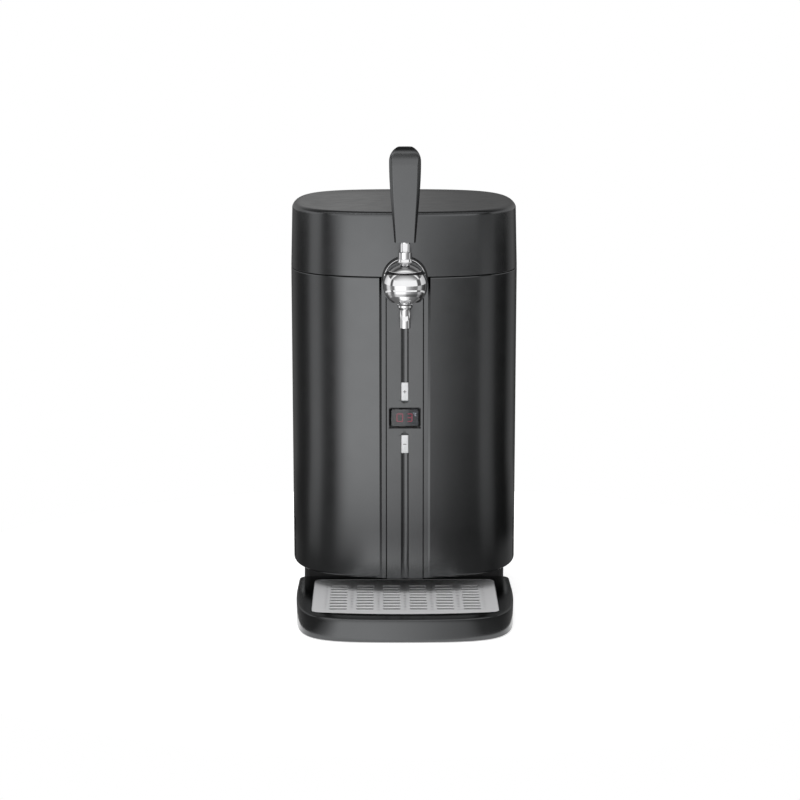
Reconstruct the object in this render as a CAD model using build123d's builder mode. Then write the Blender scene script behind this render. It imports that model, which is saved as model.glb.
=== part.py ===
from build123d import *
from math import acos, cos, degrees, radians, sin, sqrt, tan
import os

# A countertop dispenser for a five-litre party keg: a cooled keg chamber under a hinged lid,
# a ball tap with a tilting lever on the front, and a drip tray that slides out from under it.
# Millimetres, +Z up, front towards -Y, origin under the middle of the footprint.

os.makedirs("parts", exist_ok=True)

# ---------------------------------------------------------------- driving dimensions
# Case: its plan is widest on a line through the keg's axis, bowed in front, fuller at the back.
# It stands clear of the insulation at the sides, of the liner in front and of the fan behind.
side_room = 17.5
front_room = 31.3
fan_room = 11.5
front_bow = 0.69
rear_bow = 0.80
body_bottom = 43.3
lid_height = 72.1
seam_gap = 1.2
bottom_inset = 1.1
top_inset = 1.7
wall = 3.2
bottom_edge_radius = 2.4
lid_edge_radius = 4.6
dish_depth = 1.3
dish_inset = 24.0
dish_rim = 7.0
lid_liner_rise = 20.6
lid_liner_wall = 2.0
lid_lip_width = 6.0
lid_fit = 0.3
floor_thickness = 3.0

# Keg chamber and its insulation, hung from the deck.
keg_radius = 86.0
keg_height = 250.0
keg_clearance = 4.0
liner_wall = 1.5
liner_flange_width = 5.5
liner_flange_thickness = 1.2
under_chamber = 44.9
cradle_inset = 12.0
cradle_wall = 4.0
mat_thickness = 2.0
mat_inset = 12.0
foam_wall = 20.5
foam_floor = 20.0
foam_clearance = 0.2
foam_flat_setback = 21.8
deck_thickness = 3.0
deck_clearance = 0.3
deck_ledge = 4.0
nut_notch_half_width = 16.0
nut_notch_depth = 24.8
curb_width = 5.0
curb_height = 16.0
gasket_gap = 0.3
gasket_width = 4.0

# Centre panel on the front.
recess_half_width = 25.8
recess_depth = 5.0
recess_backing = 2.8
recess_lap = 6.2
recess_weld = 1.0
recess_flare = 2.5
recess_flare_rise = 1.4
peg_radius = 2.0
peg_heights = (96.0, 318.0)
panel_clearance = 0.2
panel_plate = 1.9
panel_face_half_width = 20.0
panel_face_rise = 2.6
panel_face_slope = 1.2
panel_shadow_width = 0.8
panel_shadow_depth = 0.9
channel_width = 8.8
channel_depth = 2.0
display_height = 226.8
display_width = 35.6
display_tall = 23.4
display_corner = 4.0
window_width = 29.7
window_tall = 18.4
lens_thickness = 1.6
lens_lap = 0.4
funnel_lip = 0.5
button_width = 8.0
button_tall = 20.4
button_offset = 29.7
button_travel = 1.0
button_clearance = 0.25
button_flange = 1.3
channel_end_offset = 16.5

# Ball tap.
tap_standoff = 28.2
tap_drop = 5.2
ball_radius = 24.8
hood_radius = 25.9
hood_gap = 0.3
hood_edge_rise = 15.1
hood_arch_radius = 65.0
hood_neck_radius = 7.75
hood_neck_rise = 29.0
ball_flat_drop = 18.0
shank_drop = 10.0
shank_radius = 7.0
shank_bore_radius = 3.5
shank_clearance = 0.2
rosette_radius = 25.7
rosette_thickness = 2.4
rosette_rise = 3.2
rosette_standoff = 1.0
rosette_boss_radius = 9.5
collar_height = 7.4
stem_radius = 5.3
stem_height = 11.0
stem_thread_height = 20.0
lever_shaft_radius = 4.0
lever_eye_radius = 5.0
lever_eye_width = 8.0
lever_range = 32.0
pin_radius = 2.5
running_clearance = 0.05
slide_clearance = 0.3
finger_reach = 10.0
finger_ball_radius = 2.2
finger_neck_radius = 1.0
plunger_radius = 4.0
plunger_clearance = 0.1
valve_seat = 7.0
valve_chamber_radius = 6.2
plunger_head_radius = 5.4
plunger_head = 2.5
spigot_radius = 5.0
spigot_length = 3.0
spout_neck = 3.6
spout_collar_radius = 8.5
spout_collar_height = 2.8
spout_taper_height = 2.6
spout_radius = 6.2
spout_length = 29.4
spout_bore_radius = 3.9

# Lever handle.
handle_length = 105.3
handle_foot_half_width = 11.6
handle_head_half_width = 17.4
handle_depth = 17.0
handle_nose_radius = 20.0
handle_bevel = 3.6
handle_foot_bevel = 1.8
handle_back_bevel = 5.0

# Base, feet and drip tray.
foot_radius = 12.0
foot_height = 4.0
foot_inset = 47.5
foot_front_setback = 38.0
foot_rear_setback = 60.0
base_inset = 12.0
base_wall = 3.0
base_floor = 3.0
base_screw_x = 60.0
base_screw_rows = (10.0, 100.0)
base_screw_length = 26.0
tray_inset = 7.7
tray_taper = 1.2
tray_reach = 119.2
tray_widest_setback = 16.8
tray_fullness = 0.91
tray_rear = 40.0
tray_rear_corner = 10.0
tray_top = 26.8
tray_skirt_bottom = 1.6
tray_wall = 2.6
tray_glide = 0.2
tray_floor = 2.4
tray_edge_radius = 1.6
tray_frame = 4.8
tray_clearance = 0.5
grille_side_inset = 18.8
grille_front_inset = 24.8
grille_rear = 57.6
grille_front_corner = 12.0
grille_rear_corner = 5.0
grille_thickness = 1.6
grille_sink = 0.6
grille_clearance = 0.4
grille_ledge = 6.0
slot_length = 19.4
slot_width = 8.0
slot_columns = 6
slot_rows = 9
slot_pitch_x = 29.6
slot_pitch_y = 12.8

# Side vents.
vent_columns = 14
vent_pitch = 10.0
vent_width = 5.0
vent_tall = 23.5
vent_bar = 1.7
vent_first = 38.0
vent_foot = 3.4

# Rear cover, fan and cold side.
rebate_depth = 1.8
cover_half_width = 72.0
cover_bottom = 58.0
cover_drop = 32.6
cover_gap = 0.4
cover_corner = 8.0
cover_seat = 12.0
cover_seat_gap = 0.2
cover_boss_radius = 4.6
cover_boss_depth = 6.0
cooler_height = 240.0
cold_block_width = 60.0
cold_block_tall = 46.0
cold_block_depth = 20.4
probe_radius = 2.5
probe_length = 18.0
paste_gap = 0.1
peltier_size = 40.0
peltier_thickness = 3.8
sink_width = 100.0
sink_tall = 110.0
sink_base = 5.0
sink_depth = 27.0
sink_fin_count = 15
sink_fin_thickness = 1.5
fan_size = 92.0
fan_depth = 15.0
fan_bore_radius = 42.0
fan_hub_radius = 17.0
fan_tip_gap = 1.2
fan_blade_count = 7
fan_shaft_radius = 2.0
fan_spacing = 1.5
fan_hole_pitch = 82.5
fan_strut = 3.0
fan_blade_pitch = 35.0
fan_blade_chord = 11.0
fan_blade_thickness = 1.6
guard_radius = 42.0
guard_pitch = 8.0
guard_slot = 4.4
screw_radius = 1.6
screw_head_radius = 3.2
screw_head = 2.2
screw_clearance = 0.05

# Power board on the floor, with its tallest parts as width, depth and height.
power_board_half_width = 45.0
power_board_half_depth = 55.0
power_board_back = 4.0
standoff_height = 4.0
standoff_radius = 3.5
transformer = (32.0, 28.0, 20.0)
capacitor_radius = 8.0
capacitor_height = 20.0
cooling_plate = (60.0, 4.0, 18.0)
terminal = (18.0, 9.0, 11.0)
fuse = (16.0, 5.0, 14.0)

# Power entry on the rear cover.
entry_height = 90.0
entry_half_width = 37.0
entry_half_tall = 19.0
entry_proud = 0.4
entry_thickness = 5.0
inlet_offset = -15.0
inlet_width = 27.0
inlet_tall = 20.0
inlet_depth = 16.0
inlet_wall = 2.0
inlet_flange = 2.0
switch_offset = 19.0
switch_width = 15.0
switch_tall = 21.0
switch_depth = 14.0
switch_wall = 1.5
rocker_tilt = 8.0
rocker_clearance = 0.35

# Hinge.
hinge_radius = 5.0
hinge_gap = 5.5
hinge_pin_radius = 1.75
hinge_offset = 45.0
knuckle_width = 24.0
ear_width = 9.0
ear_gap = 0.4
ear_root = 14.0

# Beer hose and keg coupler.
hose_radius = 4.5
hose_bore_radius = 3.05
barb_radius = 3.0
hose_setback = 18.8
hose_margin = 21.5
hose_run_out = 76.0
hose_bend = 80.0
hose_clip_rows = (-12.0, 24.0)
hose_clip_width = 8.0
hose_clip_wall = 2.5
hose_clip_height = 6.0
barb_length = 14.0
coupler_x = 52.0
coupler_setback = 38.0
coupler_radius = 14.0
coupler_height = 33.0
coupler_post_radius = 6.0

# ---------------------------------------------------------------- derived places
# outwards from the keg
liner_radius = keg_radius + keg_clearance
liner_outer = liner_radius + liner_wall
foam_radius = liner_outer + foam_wall
cradle_radius = foam_radius - cradle_inset
half_width = foam_radius + side_room
front_depth = liner_outer + front_room
block_rear = liner_outer + paste_gap + cold_block_depth
sink_front = block_rear + peltier_thickness + 2 * paste_gap
fan_front = sink_front + sink_base + sink_depth + fan_spacing
fan_rear = fan_front + fan_depth
rear_depth = fan_rear + fan_room
axis_y = ((front_depth + tray_reach) - (rear_depth + hinge_gap + hinge_radius)) / 2
# upwards from the floor
inner_floor = body_bottom + floor_thickness
foam_bottom = inner_floor + under_chamber
chamber_floor = foam_bottom + foam_floor + liner_wall
deck_top = chamber_floor + mat_thickness + keg_height
deck_bottom = deck_top - deck_thickness
curb_top = deck_top + curb_height
shank_height = deck_top + foam_clearance + hose_radius
tap_height = shank_height + shank_drop
seam_height = tap_height + tap_drop
body_top = seam_height - seam_gap / 2
lid_bottom = seam_height + seam_gap / 2
lid_top = seam_height + lid_height
cover_top = seam_height - cover_drop
# what the case's size decides
tap_reach = front_depth + tap_standoff
tap_y = axis_y - tap_reach
foam_flat_depth = front_depth - foam_flat_setback
nut_notch_rear = front_depth - nut_notch_depth
tray_front = front_depth + tray_reach
tray_half_width = half_width - tray_inset
tray_rear_half_width = tray_half_width - tray_taper
tray_widest = front_depth - tray_widest_setback
grille_half_width = tray_half_width - grille_side_inset
grille_front = tray_front - grille_front_inset
hose_front_depth = front_depth - hose_setback
hose_side_reach = half_width - hose_margin
coupler_back = rear_depth - coupler_setback
hose_turn = coupler_back - hose_run_out
recess_floor = front_depth - recess_depth
panel_ledge = recess_floor + panel_plate
panel_front = panel_ledge + panel_face_rise
backing_back = recess_floor - recess_backing
hinge_back = rear_depth + hinge_gap
cover_middle = (cover_bottom + cover_top) / 2
tongue_top = foot_height + base_floor
upward = (Align.CENTER, Align.CENTER, Align.MIN)
downward = (Align.CENTER, Align.CENTER, Align.MAX)


# ---------------------------------------------------------------- planes and outlines
def level(height):
    """Horizontal plane at a height, centred on the keg's axis."""
    return Plane((0, axis_y, height))


def facing(depth, height=0.0, x=0.0):
    """Upright plane turned to the user, at a depth in front of the keg's axis."""
    return Plane((x, axis_y - depth, height), x_dir=(1, 0, 0), z_dir=(0, -1, 0))


def across(x, height=0.0):
    """Upright plane along the case, its own x to the back and its own y up."""
    return Plane((x, axis_y, height), x_dir=(0, 1, 0), z_dir=(1, 0, 0))


def case_draft(height):
    """How far the case has come in at a height from its widest line, the seam."""
    if height < seam_height:
        return bottom_inset * (seam_height - height) / (seam_height - body_bottom)
    return top_inset * (height - seam_height) / (lid_top - seam_height)


def case_plan(height, inset=0.0, cut_front=None):
    """Outline of the case at a height, moved in by an inset; the part ahead of a depth can be cut away."""
    shrink = case_draft(height) + inset
    width = half_width - shrink
    front = front_depth - shrink
    rear = rear_depth - shrink
    with BuildSketch(level(height)) as plan:
        with BuildLine():
            Bezier((0, -front), (front_bow * width, -front), (width, -front_bow * front), (width, 0))
            Bezier((width, 0), (width, rear_bow * rear), (rear_bow * width, rear), (0, rear))
            mirror(about=Plane.YZ)
        make_face()
        if cut_front is not None:
            with Locations((0, -cut_front - front_depth)):
                Rectangle(3 * half_width, 2 * front_depth, mode=Mode.SUBTRACT)
    return plan.sketch


def case_sections(bottom, top, inset=0.0, cut_front=None):
    """The two outlines between which a stretch of the case is drawn."""
    return [case_plan(bottom, inset, cut_front), case_plan(top, inset, cut_front)]


def tray_plan(height, inset=0.0, rear=tray_rear, width=tray_half_width):
    """Outline of the drip tray: a bowed front, nearly straight sides and a straight back."""
    side = width - inset
    rear_side = tray_rear_half_width - inset
    front = tray_front - inset
    run = front - tray_widest
    back = rear + inset
    with BuildSketch(level(height)) as plan:
        with BuildLine():
            Bezier(
                (0, -front),
                (tray_fullness * side, -front),
                (side, -tray_widest - tray_fullness * run),
                (side, -tray_widest),
            )
            Line((side, -tray_widest), (rear_side, -back))
            Line((rear_side, -back), (0, -back))
            mirror(about=Plane.YZ)
        make_face()
        fillet(plan.vertices().group_by(Axis.Y)[-1].filter_by(lambda v: abs(v.X) > 1), tray_rear_corner)
    return plan.sketch


def grille_plan(height, inset=0.0):
    """Outline of the drip grille: its front bows a little, as the tray's rim does."""
    side = grille_half_width - inset
    front = grille_front - inset
    rear = grille_rear + inset
    shoulder = front - (tray_front - grille_front) * 0.4
    with BuildSketch(level(height)) as plan:
        with BuildLine():
            ThreePointArc((-side, -shoulder), (0, -front), (side, -shoulder))
            Line((side, -shoulder), (side, -rear))
            Line((side, -rear), (-side, -rear))
            Line((-side, -rear), (-side, -shoulder))
        make_face()
        fillet(plan.vertices().group_by(Axis.Y)[0], grille_front_corner)
        fillet(plan.vertices().group_by(Axis.Y)[-1], grille_rear_corner)
    return plan.sketch


def finish(part, name):
    """Labels a finished piece and writes it."""
    part.label = name
    export_step(part, f"parts/{name}.step")


# ---------------------------------------------------------------- base and feet
base_front = tray_rear - 1.0
foot_x = half_width - foot_inset
foot_rows = (axis_y - tray_front + foot_front_setback, axis_y + rear_depth - foot_rear_setback)
foot_places = [(side * foot_x, y) for side in (-1, 1) for y in foot_rows]
base_screw_places = [(side * base_screw_x, axis_y + y) for side in (-1, 1) for y in base_screw_rows]
base_screw_seat = body_bottom / 2 + foot_height
foot_stem_radius = 4.0
foot_stem_height = base_floor - 0.5
post_radius = 6.0

with BuildPart() as base_housing:
    loft(sections=case_sections(foot_height, body_bottom, base_inset, base_front), ruled=True)
    loft(
        sections=case_sections(tongue_top, body_bottom, base_inset + base_wall, base_front - base_wall),
        ruled=True,
        mode=Mode.SUBTRACT,
    )
    extrude(
        to_extrude=tray_plan(foot_height, tray_wall + tray_clearance, 0.0, tray_rear_half_width),
        amount=base_floor,
    )
    with Locations(*[(x, y, foot_height) for x, y in base_screw_places]):
        Cylinder(post_radius, body_bottom - foot_height, align=upward)
    with Locations(*[(x, y, 0) for x, y in base_screw_places]):
        Cylinder(screw_radius + 0.2, body_bottom + 1, align=upward, mode=Mode.SUBTRACT)
        Cylinder(screw_head_radius + 0.3, base_screw_seat, align=upward, mode=Mode.SUBTRACT)
    with Locations(*[(x, y, 0) for x, y in foot_places]):
        Cylinder(foot_stem_radius + screw_clearance, 2 * tongue_top, align=upward, mode=Mode.SUBTRACT)
finish(base_housing.part, "base_housing")

with BuildPart() as rubber_feet:
    with Locations(*[(x, y, 0) for x, y in foot_places]):
        Cylinder(foot_radius, foot_height, align=upward)
    chamfer(rubber_feet.faces().group_by(Axis.Z)[0].edges(), 1.0)
    with Locations(*[(x, y, foot_height) for x, y in foot_places]):
        Cylinder(foot_stem_radius, foot_stem_height, align=upward)
finish(rubber_feet.part, "rubber_feet")

with BuildPart() as base_screws:
    with Locations(*[(x, y, base_screw_seat - screw_head) for x, y in base_screw_places]):
        Cylinder(screw_head_radius, screw_head, align=upward)
        Cylinder(screw_radius, screw_head + base_screw_length, align=upward)
finish(base_screws.part, "base_screws")

# ---------------------------------------------------------------- body shell
shank_hole_radius = shank_radius + shank_clearance
display_hole = (window_width - 3 * lens_lap, window_tall - 3 * lens_lap)
flange_width = button_width + 3.0
flange_tall = button_tall + 3.0
board_half_width = 17.0
board_half_tall = 47.5
board_post_height = 8.6
board_thickness = 1.6
vent_rows = (body_bottom + vent_foot, body_bottom + vent_foot + vent_tall + vent_bar)
vent_middle = -vent_first + vent_width / 2 + vent_pitch * (vent_columns - 1) / 2
seat_half_width = cover_half_width - cover_seat
seat_half_tall = (cover_top - cover_bottom) / 2 - cover_seat
cover_screw_x = cover_half_width - cover_seat / 2
cover_screw_z = (cover_top - cover_bottom) / 2 - cover_seat / 2
cover_screw_depth = rear_depth - 14.0
knuckle_reach = knuckle_width / 2
ear_middle = knuckle_reach + ear_gap + ear_width / 2

def hinge_leaf(x, up):
    """Outline of a hinge's ear: a round end on the axis, running down (or up) to the case's wall."""
    end = hinge_radius * cos(radians(45))
    root = hinge_back - rear_depth + ear_root
    with BuildSketch(across(x)) as leaf:
        with Locations((hinge_back, seam_height)):
            Circle(hinge_radius)
            Polygon(
                (0, up * seam_gap / 2),
                (end, up * end),
                (-root, up * (end + root + end)),
                (-root, up * seam_gap / 2),
                align=None,
            )
    return leaf.sketch


with BuildPart() as cover_zone:
    with Locations((0, axis_y + rear_depth, cover_middle)):
        Box(2 * (cover_half_width + cover_gap), rear_depth, cover_top - cover_bottom + 2 * cover_gap)
    loft(
        sections=case_sections(cover_bottom - 5, cover_top + 5, rebate_depth),
        ruled=True,
        mode=Mode.SUBTRACT,
    )

with BuildPart() as body_shell:
    loft(sections=case_sections(body_bottom, body_top), ruled=True)
    fillet(body_shell.faces().sort_by(Axis.Z)[0].edges(), bottom_edge_radius)
    for side in (-1, 1):
        for ear in (-1, 1):
            leaf_x = side * hinge_offset + ear * ear_middle - ear_width / 2
            extrude(to_extrude=hinge_leaf(leaf_x, -1), amount=ear_width)
    loft(sections=case_sections(inner_floor, body_top, wall), ruled=True, mode=Mode.SUBTRACT)
    # side vents, two rows of upright slots
    with BuildSketch(across(-half_width - 5)):
        for row in vent_rows:
            with Locations((vent_middle, row + vent_tall / 2)):
                with GridLocations(vent_pitch, 0, vent_columns, 1):
                    Rectangle(vent_width, vent_tall)
    extrude(amount=2 * half_width + 10, mode=Mode.SUBTRACT)
    # ledge that the deck rests on
    loft(sections=case_sections(deck_bottom - deck_ledge, deck_bottom, wall / 2), ruled=True)
    loft(
        sections=case_sections(deck_bottom - 2 * deck_ledge, deck_bottom + deck_ledge, wall + deck_ledge),
        ruled=True,
        mode=Mode.SUBTRACT,
    )
    # thick backing behind the centre panel, then the panel's recess
    with Locations((0, axis_y - (recess_floor + recess_weld + backing_back) / 2, body_bottom)):
        Box(
            2 * (recess_half_width + recess_lap),
            recess_backing + recess_weld,
            body_top - body_bottom,
            align=upward,
        )
    with Locations((0, axis_y - recess_floor - front_depth, 0)):
        Box(2 * recess_half_width, 2 * front_depth, 2 * body_top, align=upward, mode=Mode.SUBTRACT)
    with BuildSketch(level(0)):
        with BuildLine():
            Polyline(
                (-recess_half_width, -panel_ledge),
                (-recess_half_width - 4 * recess_flare, -panel_ledge - 4 * recess_flare_rise),
                (recess_half_width + 4 * recess_flare, -panel_ledge - 4 * recess_flare_rise),
                (recess_half_width, -panel_ledge),
                close=True,
            )
        make_face()
    extrude(amount=2 * body_top, mode=Mode.SUBTRACT)
    with BuildSketch(facing(recess_floor + 1, display_height)):
        Rectangle(*display_hole)
        with Locations((0, button_offset), (0, -button_offset)):
            Rectangle(flange_width + 1.0, flange_tall + 1.0)
    extrude(amount=-recess_backing - 2, mode=Mode.SUBTRACT)
    with BuildSketch(facing(recess_floor + 1)):
        with Locations((0, shank_height)):
            Circle(shank_hole_radius)
        with Locations(*[(0, height) for height in peg_heights]):
            Circle(peg_radius + running_clearance)
    extrude(amount=-recess_backing - 2, mode=Mode.SUBTRACT)
    # posts for the control board
    with BuildSketch(facing(backing_back, display_height)):
        with GridLocations(2 * (board_half_width - 3), 2 * (board_half_tall - 3), 2, 2):
            Circle(2.4)
    extrude(amount=-board_post_height)
    # floor: bosses over the base's screws, standoffs for the power board
    with Locations(*[(x, y, body_bottom) for x, y in base_screw_places]):
        Cylinder(post_radius - 1, floor_thickness + 10, align=upward)
        Cylinder(screw_radius + screw_clearance, floor_thickness + 8, align=upward, mode=Mode.SUBTRACT)
    with Locations((0, axis_y + power_board_back, inner_floor - 0.5)):
        with GridLocations(
            2 * (power_board_half_width - standoff_radius - 1.5),
            2 * (power_board_half_depth - standoff_radius - 1.5),
            2,
            2,
        ):
            Cylinder(standoff_radius, standoff_height + 0.5, align=upward)
    # rear cover: screw posts, the rebate it lies in, the opening and the pockets for its bosses
    with BuildSketch(facing(-cover_screw_depth + cover_boss_depth, cover_middle)):
        with GridLocations(2 * cover_screw_x, 2 * cover_screw_z, 2, 2):
            Circle(cover_boss_radius + 1.6)
    extrude(amount=-cover_boss_depth - 5)
    add(cover_zone.part, mode=Mode.SUBTRACT)
    with BuildSketch(facing(-cover_screw_depth + cover_boss_depth, cover_middle)):
        RectangleRounded(2 * seat_half_width, 2 * seat_half_tall, cover_corner)
    extrude(amount=-60, mode=Mode.SUBTRACT)
    with BuildSketch(facing(-cover_screw_depth, cover_middle)):
        with GridLocations(2 * cover_screw_x, 2 * cover_screw_z, 2, 2):
            Circle(cover_boss_radius + cover_gap)
    extrude(amount=-30, mode=Mode.SUBTRACT)
    with BuildSketch(facing(-cover_screw_depth + cover_boss_depth + 1, cover_middle)):
        with GridLocations(2 * cover_screw_x, 2 * cover_screw_z, 2, 2):
            Circle(screw_radius + screw_clearance)
    extrude(amount=-cover_boss_depth - 4, mode=Mode.SUBTRACT)
    # bores for the hinge's pins
    with BuildSketch(across(-half_width)):
        with Locations((hinge_back, seam_height)):
            Circle(hinge_pin_radius + running_clearance)
    extrude(amount=2 * half_width, mode=Mode.SUBTRACT)
finish(body_shell.part, "body_shell")

# ---------------------------------------------------------------- control panel
channel_ends = (display_height + channel_end_offset, display_height - channel_end_offset)
channel_radius = (channel_width**2 / 4 + channel_depth**2) / (2 * channel_depth)
channel_axis = axis_y - panel_front + channel_depth - channel_radius
face_foot = panel_face_half_width + panel_face_slope
button_spots = (display_height + button_offset, display_height - button_offset)

with BuildPart() as control_panel:
    with BuildSketch(level(body_bottom)):
        with Locations((0, -recess_floor - panel_plate / 2)):
            Rectangle(2 * (recess_half_width - panel_clearance), panel_plate)
        with BuildLine():
            Polyline(
                (-face_foot, -panel_ledge),
                (-panel_face_half_width, -panel_front),
                (panel_face_half_width, -panel_front),
                (face_foot, -panel_ledge),
                close=True,
            )
        make_face()
        for side in (-1, 1):
            with Locations((side * (face_foot + panel_shadow_width / 2), -panel_ledge)):
                Rectangle(panel_shadow_width, 2 * panel_shadow_depth, mode=Mode.SUBTRACT)
    extrude(amount=body_top - body_bottom)
    # round-bottomed channel above and below the display, with ball ends towards it
    with Locations((0, channel_axis, channel_ends[0] + channel_width / 2)):
        Cylinder(channel_radius, body_top, align=upward, mode=Mode.SUBTRACT)
        Sphere(channel_radius, mode=Mode.SUBTRACT)
    with Locations((0, channel_axis, channel_ends[1] - channel_width / 2)):
        Cylinder(channel_radius, body_top, align=downward, mode=Mode.SUBTRACT)
        Sphere(channel_radius, mode=Mode.SUBTRACT)
    # display opening, button windows with their flanges' pockets, shank hole
    with BuildSketch(facing(recess_floor - 1, display_height)):
        RectangleRounded(
            display_width + 2 * panel_clearance,
            display_tall + 2 * panel_clearance,
            display_corner,
        )
        with Locations((0, button_offset), (0, -button_offset)):
            RectangleRounded(button_width + 2 * button_clearance, button_tall + 2 * button_clearance, 0.8)
        with Locations((0, shank_height - display_height)):
            Circle(shank_hole_radius)
    extrude(amount=10, mode=Mode.SUBTRACT)
    with BuildSketch(facing(recess_floor - 1, display_height)):
        with Locations((0, button_offset), (0, -button_offset)):
            Rectangle(flange_width + 0.6, flange_tall + 0.6)
    extrude(amount=1 + button_flange + 0.1, mode=Mode.SUBTRACT)
    # pegs that hold the panel in its recess
    with BuildSketch(facing(recess_floor)):
        with Locations(*[(0, height) for height in peg_heights]):
            Circle(peg_radius)
    extrude(amount=-recess_backing - 1)
finish(control_panel.part, "control_panel")

bezel_back = recess_floor
lens_front = bezel_back + lens_thickness + 0.1
with BuildPart() as display_bezel:
    with BuildSketch(facing(bezel_back, display_height)):
        RectangleRounded(display_width, display_tall, display_corner)
    extrude(amount=panel_front - bezel_back)
    with BuildSketch(facing(panel_front, display_height)) as funnel_mouth:
        RectangleRounded(
            display_width - 2 * funnel_lip,
            display_tall - 2 * funnel_lip,
            display_corner - funnel_lip,
        )
    with BuildSketch(facing(lens_front, display_height)) as funnel_throat:
        RectangleRounded(window_width, window_tall, display_corner / 2)
    loft(sections=[funnel_throat.sketch, funnel_mouth.sketch], ruled=True, mode=Mode.SUBTRACT)
    with BuildSketch(facing(bezel_back, display_height)):
        Rectangle(window_width + 2 * lens_lap + 0.2, window_tall + 2 * lens_lap + 0.2)
    extrude(amount=lens_front - bezel_back, mode=Mode.SUBTRACT)
finish(display_bezel.part, "display_bezel")

with BuildPart() as display_lens:
    with BuildSketch(facing(bezel_back, display_height)):
        Rectangle(window_width + 2 * lens_lap, window_tall + 2 * lens_lap)
    extrude(amount=lens_thickness)
finish(display_lens.part, "display_lens")

button_post_radius = 2.0
switch_stem = 2.0
switch_body = 5.0
board_front = backing_back - board_post_height
stem_front = board_front + switch_body + switch_stem


def button(height):
    """One press button: its face in the panel's window, a flange behind and a post to the switch."""
    face = panel_front - 0.1
    with BuildPart() as piece:
        with BuildSketch(facing(recess_floor, height)):
            RectangleRounded(button_width, button_tall, 0.6)
        extrude(amount=face - recess_floor)
        chamfer(piece.faces().sort_by(Axis.Y)[0].edges(), 0.4)
        with BuildSketch(facing(recess_floor, height)):
            Rectangle(flange_width, flange_tall)
        extrude(amount=button_flange)
        with BuildSketch(facing(recess_floor, height)):
            Circle(button_post_radius)
        extrude(amount=-(recess_floor - stem_front - button_travel - 0.1))
    return piece.part


plus_button = button(button_spots[0])
finish(plus_button, "plus_button")

minus_button = button(button_spots[1])
finish(minus_button, "minus_button")

with BuildPart() as control_board:
    with BuildSketch(facing(board_front, display_height)):
        Rectangle(2 * board_half_width, 2 * board_half_tall)
    extrude(amount=-board_thickness)
    with BuildSketch(facing(board_front, display_height)):
        with Locations((0, button_offset), (0, -button_offset)):
            Rectangle(6, 6)
        with Locations((0, board_half_tall - 8)):
            Rectangle(16, 6)
        with Locations((10, -20), (-10, -20), (-11, -36)):
            Rectangle(5, 4)
    extrude(amount=switch_body)
    with BuildSketch(facing(board_front, display_height)):
        with Locations((0, button_offset), (0, -button_offset)):
            Circle(1.7)
    extrude(amount=switch_body + switch_stem)
finish(control_board.part, "control_board")

with BuildPart() as led_module:
    with BuildSketch(facing(board_front, display_height)):
        Rectangle(display_hole[0] - 0.8, display_hole[1] - 0.8)
    extrude(amount=recess_floor - board_front - 0.1)
finish(led_module.part, "led_module")

# ---------------------------------------------------------------- keg chamber
with BuildPart() as keg_chamber:
    with Locations((0, axis_y, chamber_floor - liner_wall)):
        Cylinder(liner_outer, deck_top - chamber_floor + liner_wall, align=upward)
    with Locations((0, axis_y, deck_top)):
        Cylinder(liner_outer + liner_flange_width, liner_flange_thickness, align=upward)
    with Locations((0, axis_y, chamber_floor)):
        Cylinder(liner_radius, keg_height + 2 * liner_wall + 10, align=upward, mode=Mode.SUBTRACT)
finish(keg_chamber.part, "keg_chamber")

with BuildPart() as keg_mat:
    with Locations((0, axis_y, chamber_floor)):
        Cylinder(liner_radius - mat_inset, mat_thickness, align=upward)
finish(keg_mat.part, "keg_mat")

with BuildPart() as chamber_insulation:
    with Locations((0, axis_y, foam_bottom)):
        Cylinder(foam_radius, deck_bottom - foam_clearance - foam_bottom, align=upward)
    with Locations((0, axis_y, foam_bottom + foam_floor - foam_clearance)):
        Cylinder(liner_outer + foam_clearance, 2 * keg_height, align=upward, mode=Mode.SUBTRACT)
    with Locations((0, axis_y - foam_flat_depth - foam_radius, 0)):
        Box(2 * foam_radius, 2 * foam_radius, 2 * deck_top, align=upward, mode=Mode.SUBTRACT)
    with Locations((0, axis_y + foam_radius, cooler_height)):
        Box(cold_block_width + 0.6, foam_radius, cold_block_tall + 0.6, mode=Mode.SUBTRACT)
finish(chamber_insulation.part, "chamber_insulation")

with BuildPart() as chamber_cradle:
    with Locations((0, axis_y, inner_floor)):
        Cylinder(cradle_radius, foam_bottom - inner_floor, align=upward)
        Cylinder(
            cradle_radius - cradle_wall,
            foam_bottom - inner_floor - cradle_wall,
            align=upward,
            mode=Mode.SUBTRACT,
        )
        Cylinder(cradle_radius - 6 * cradle_wall, foam_bottom, align=upward, mode=Mode.SUBTRACT)
        with PolarLocations(cradle_radius, 6, start_angle=30):
            Box(8 * cradle_wall, 50, 28, align=upward, mode=Mode.SUBTRACT)
finish(chamber_cradle.part, "chamber_cradle")

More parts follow.
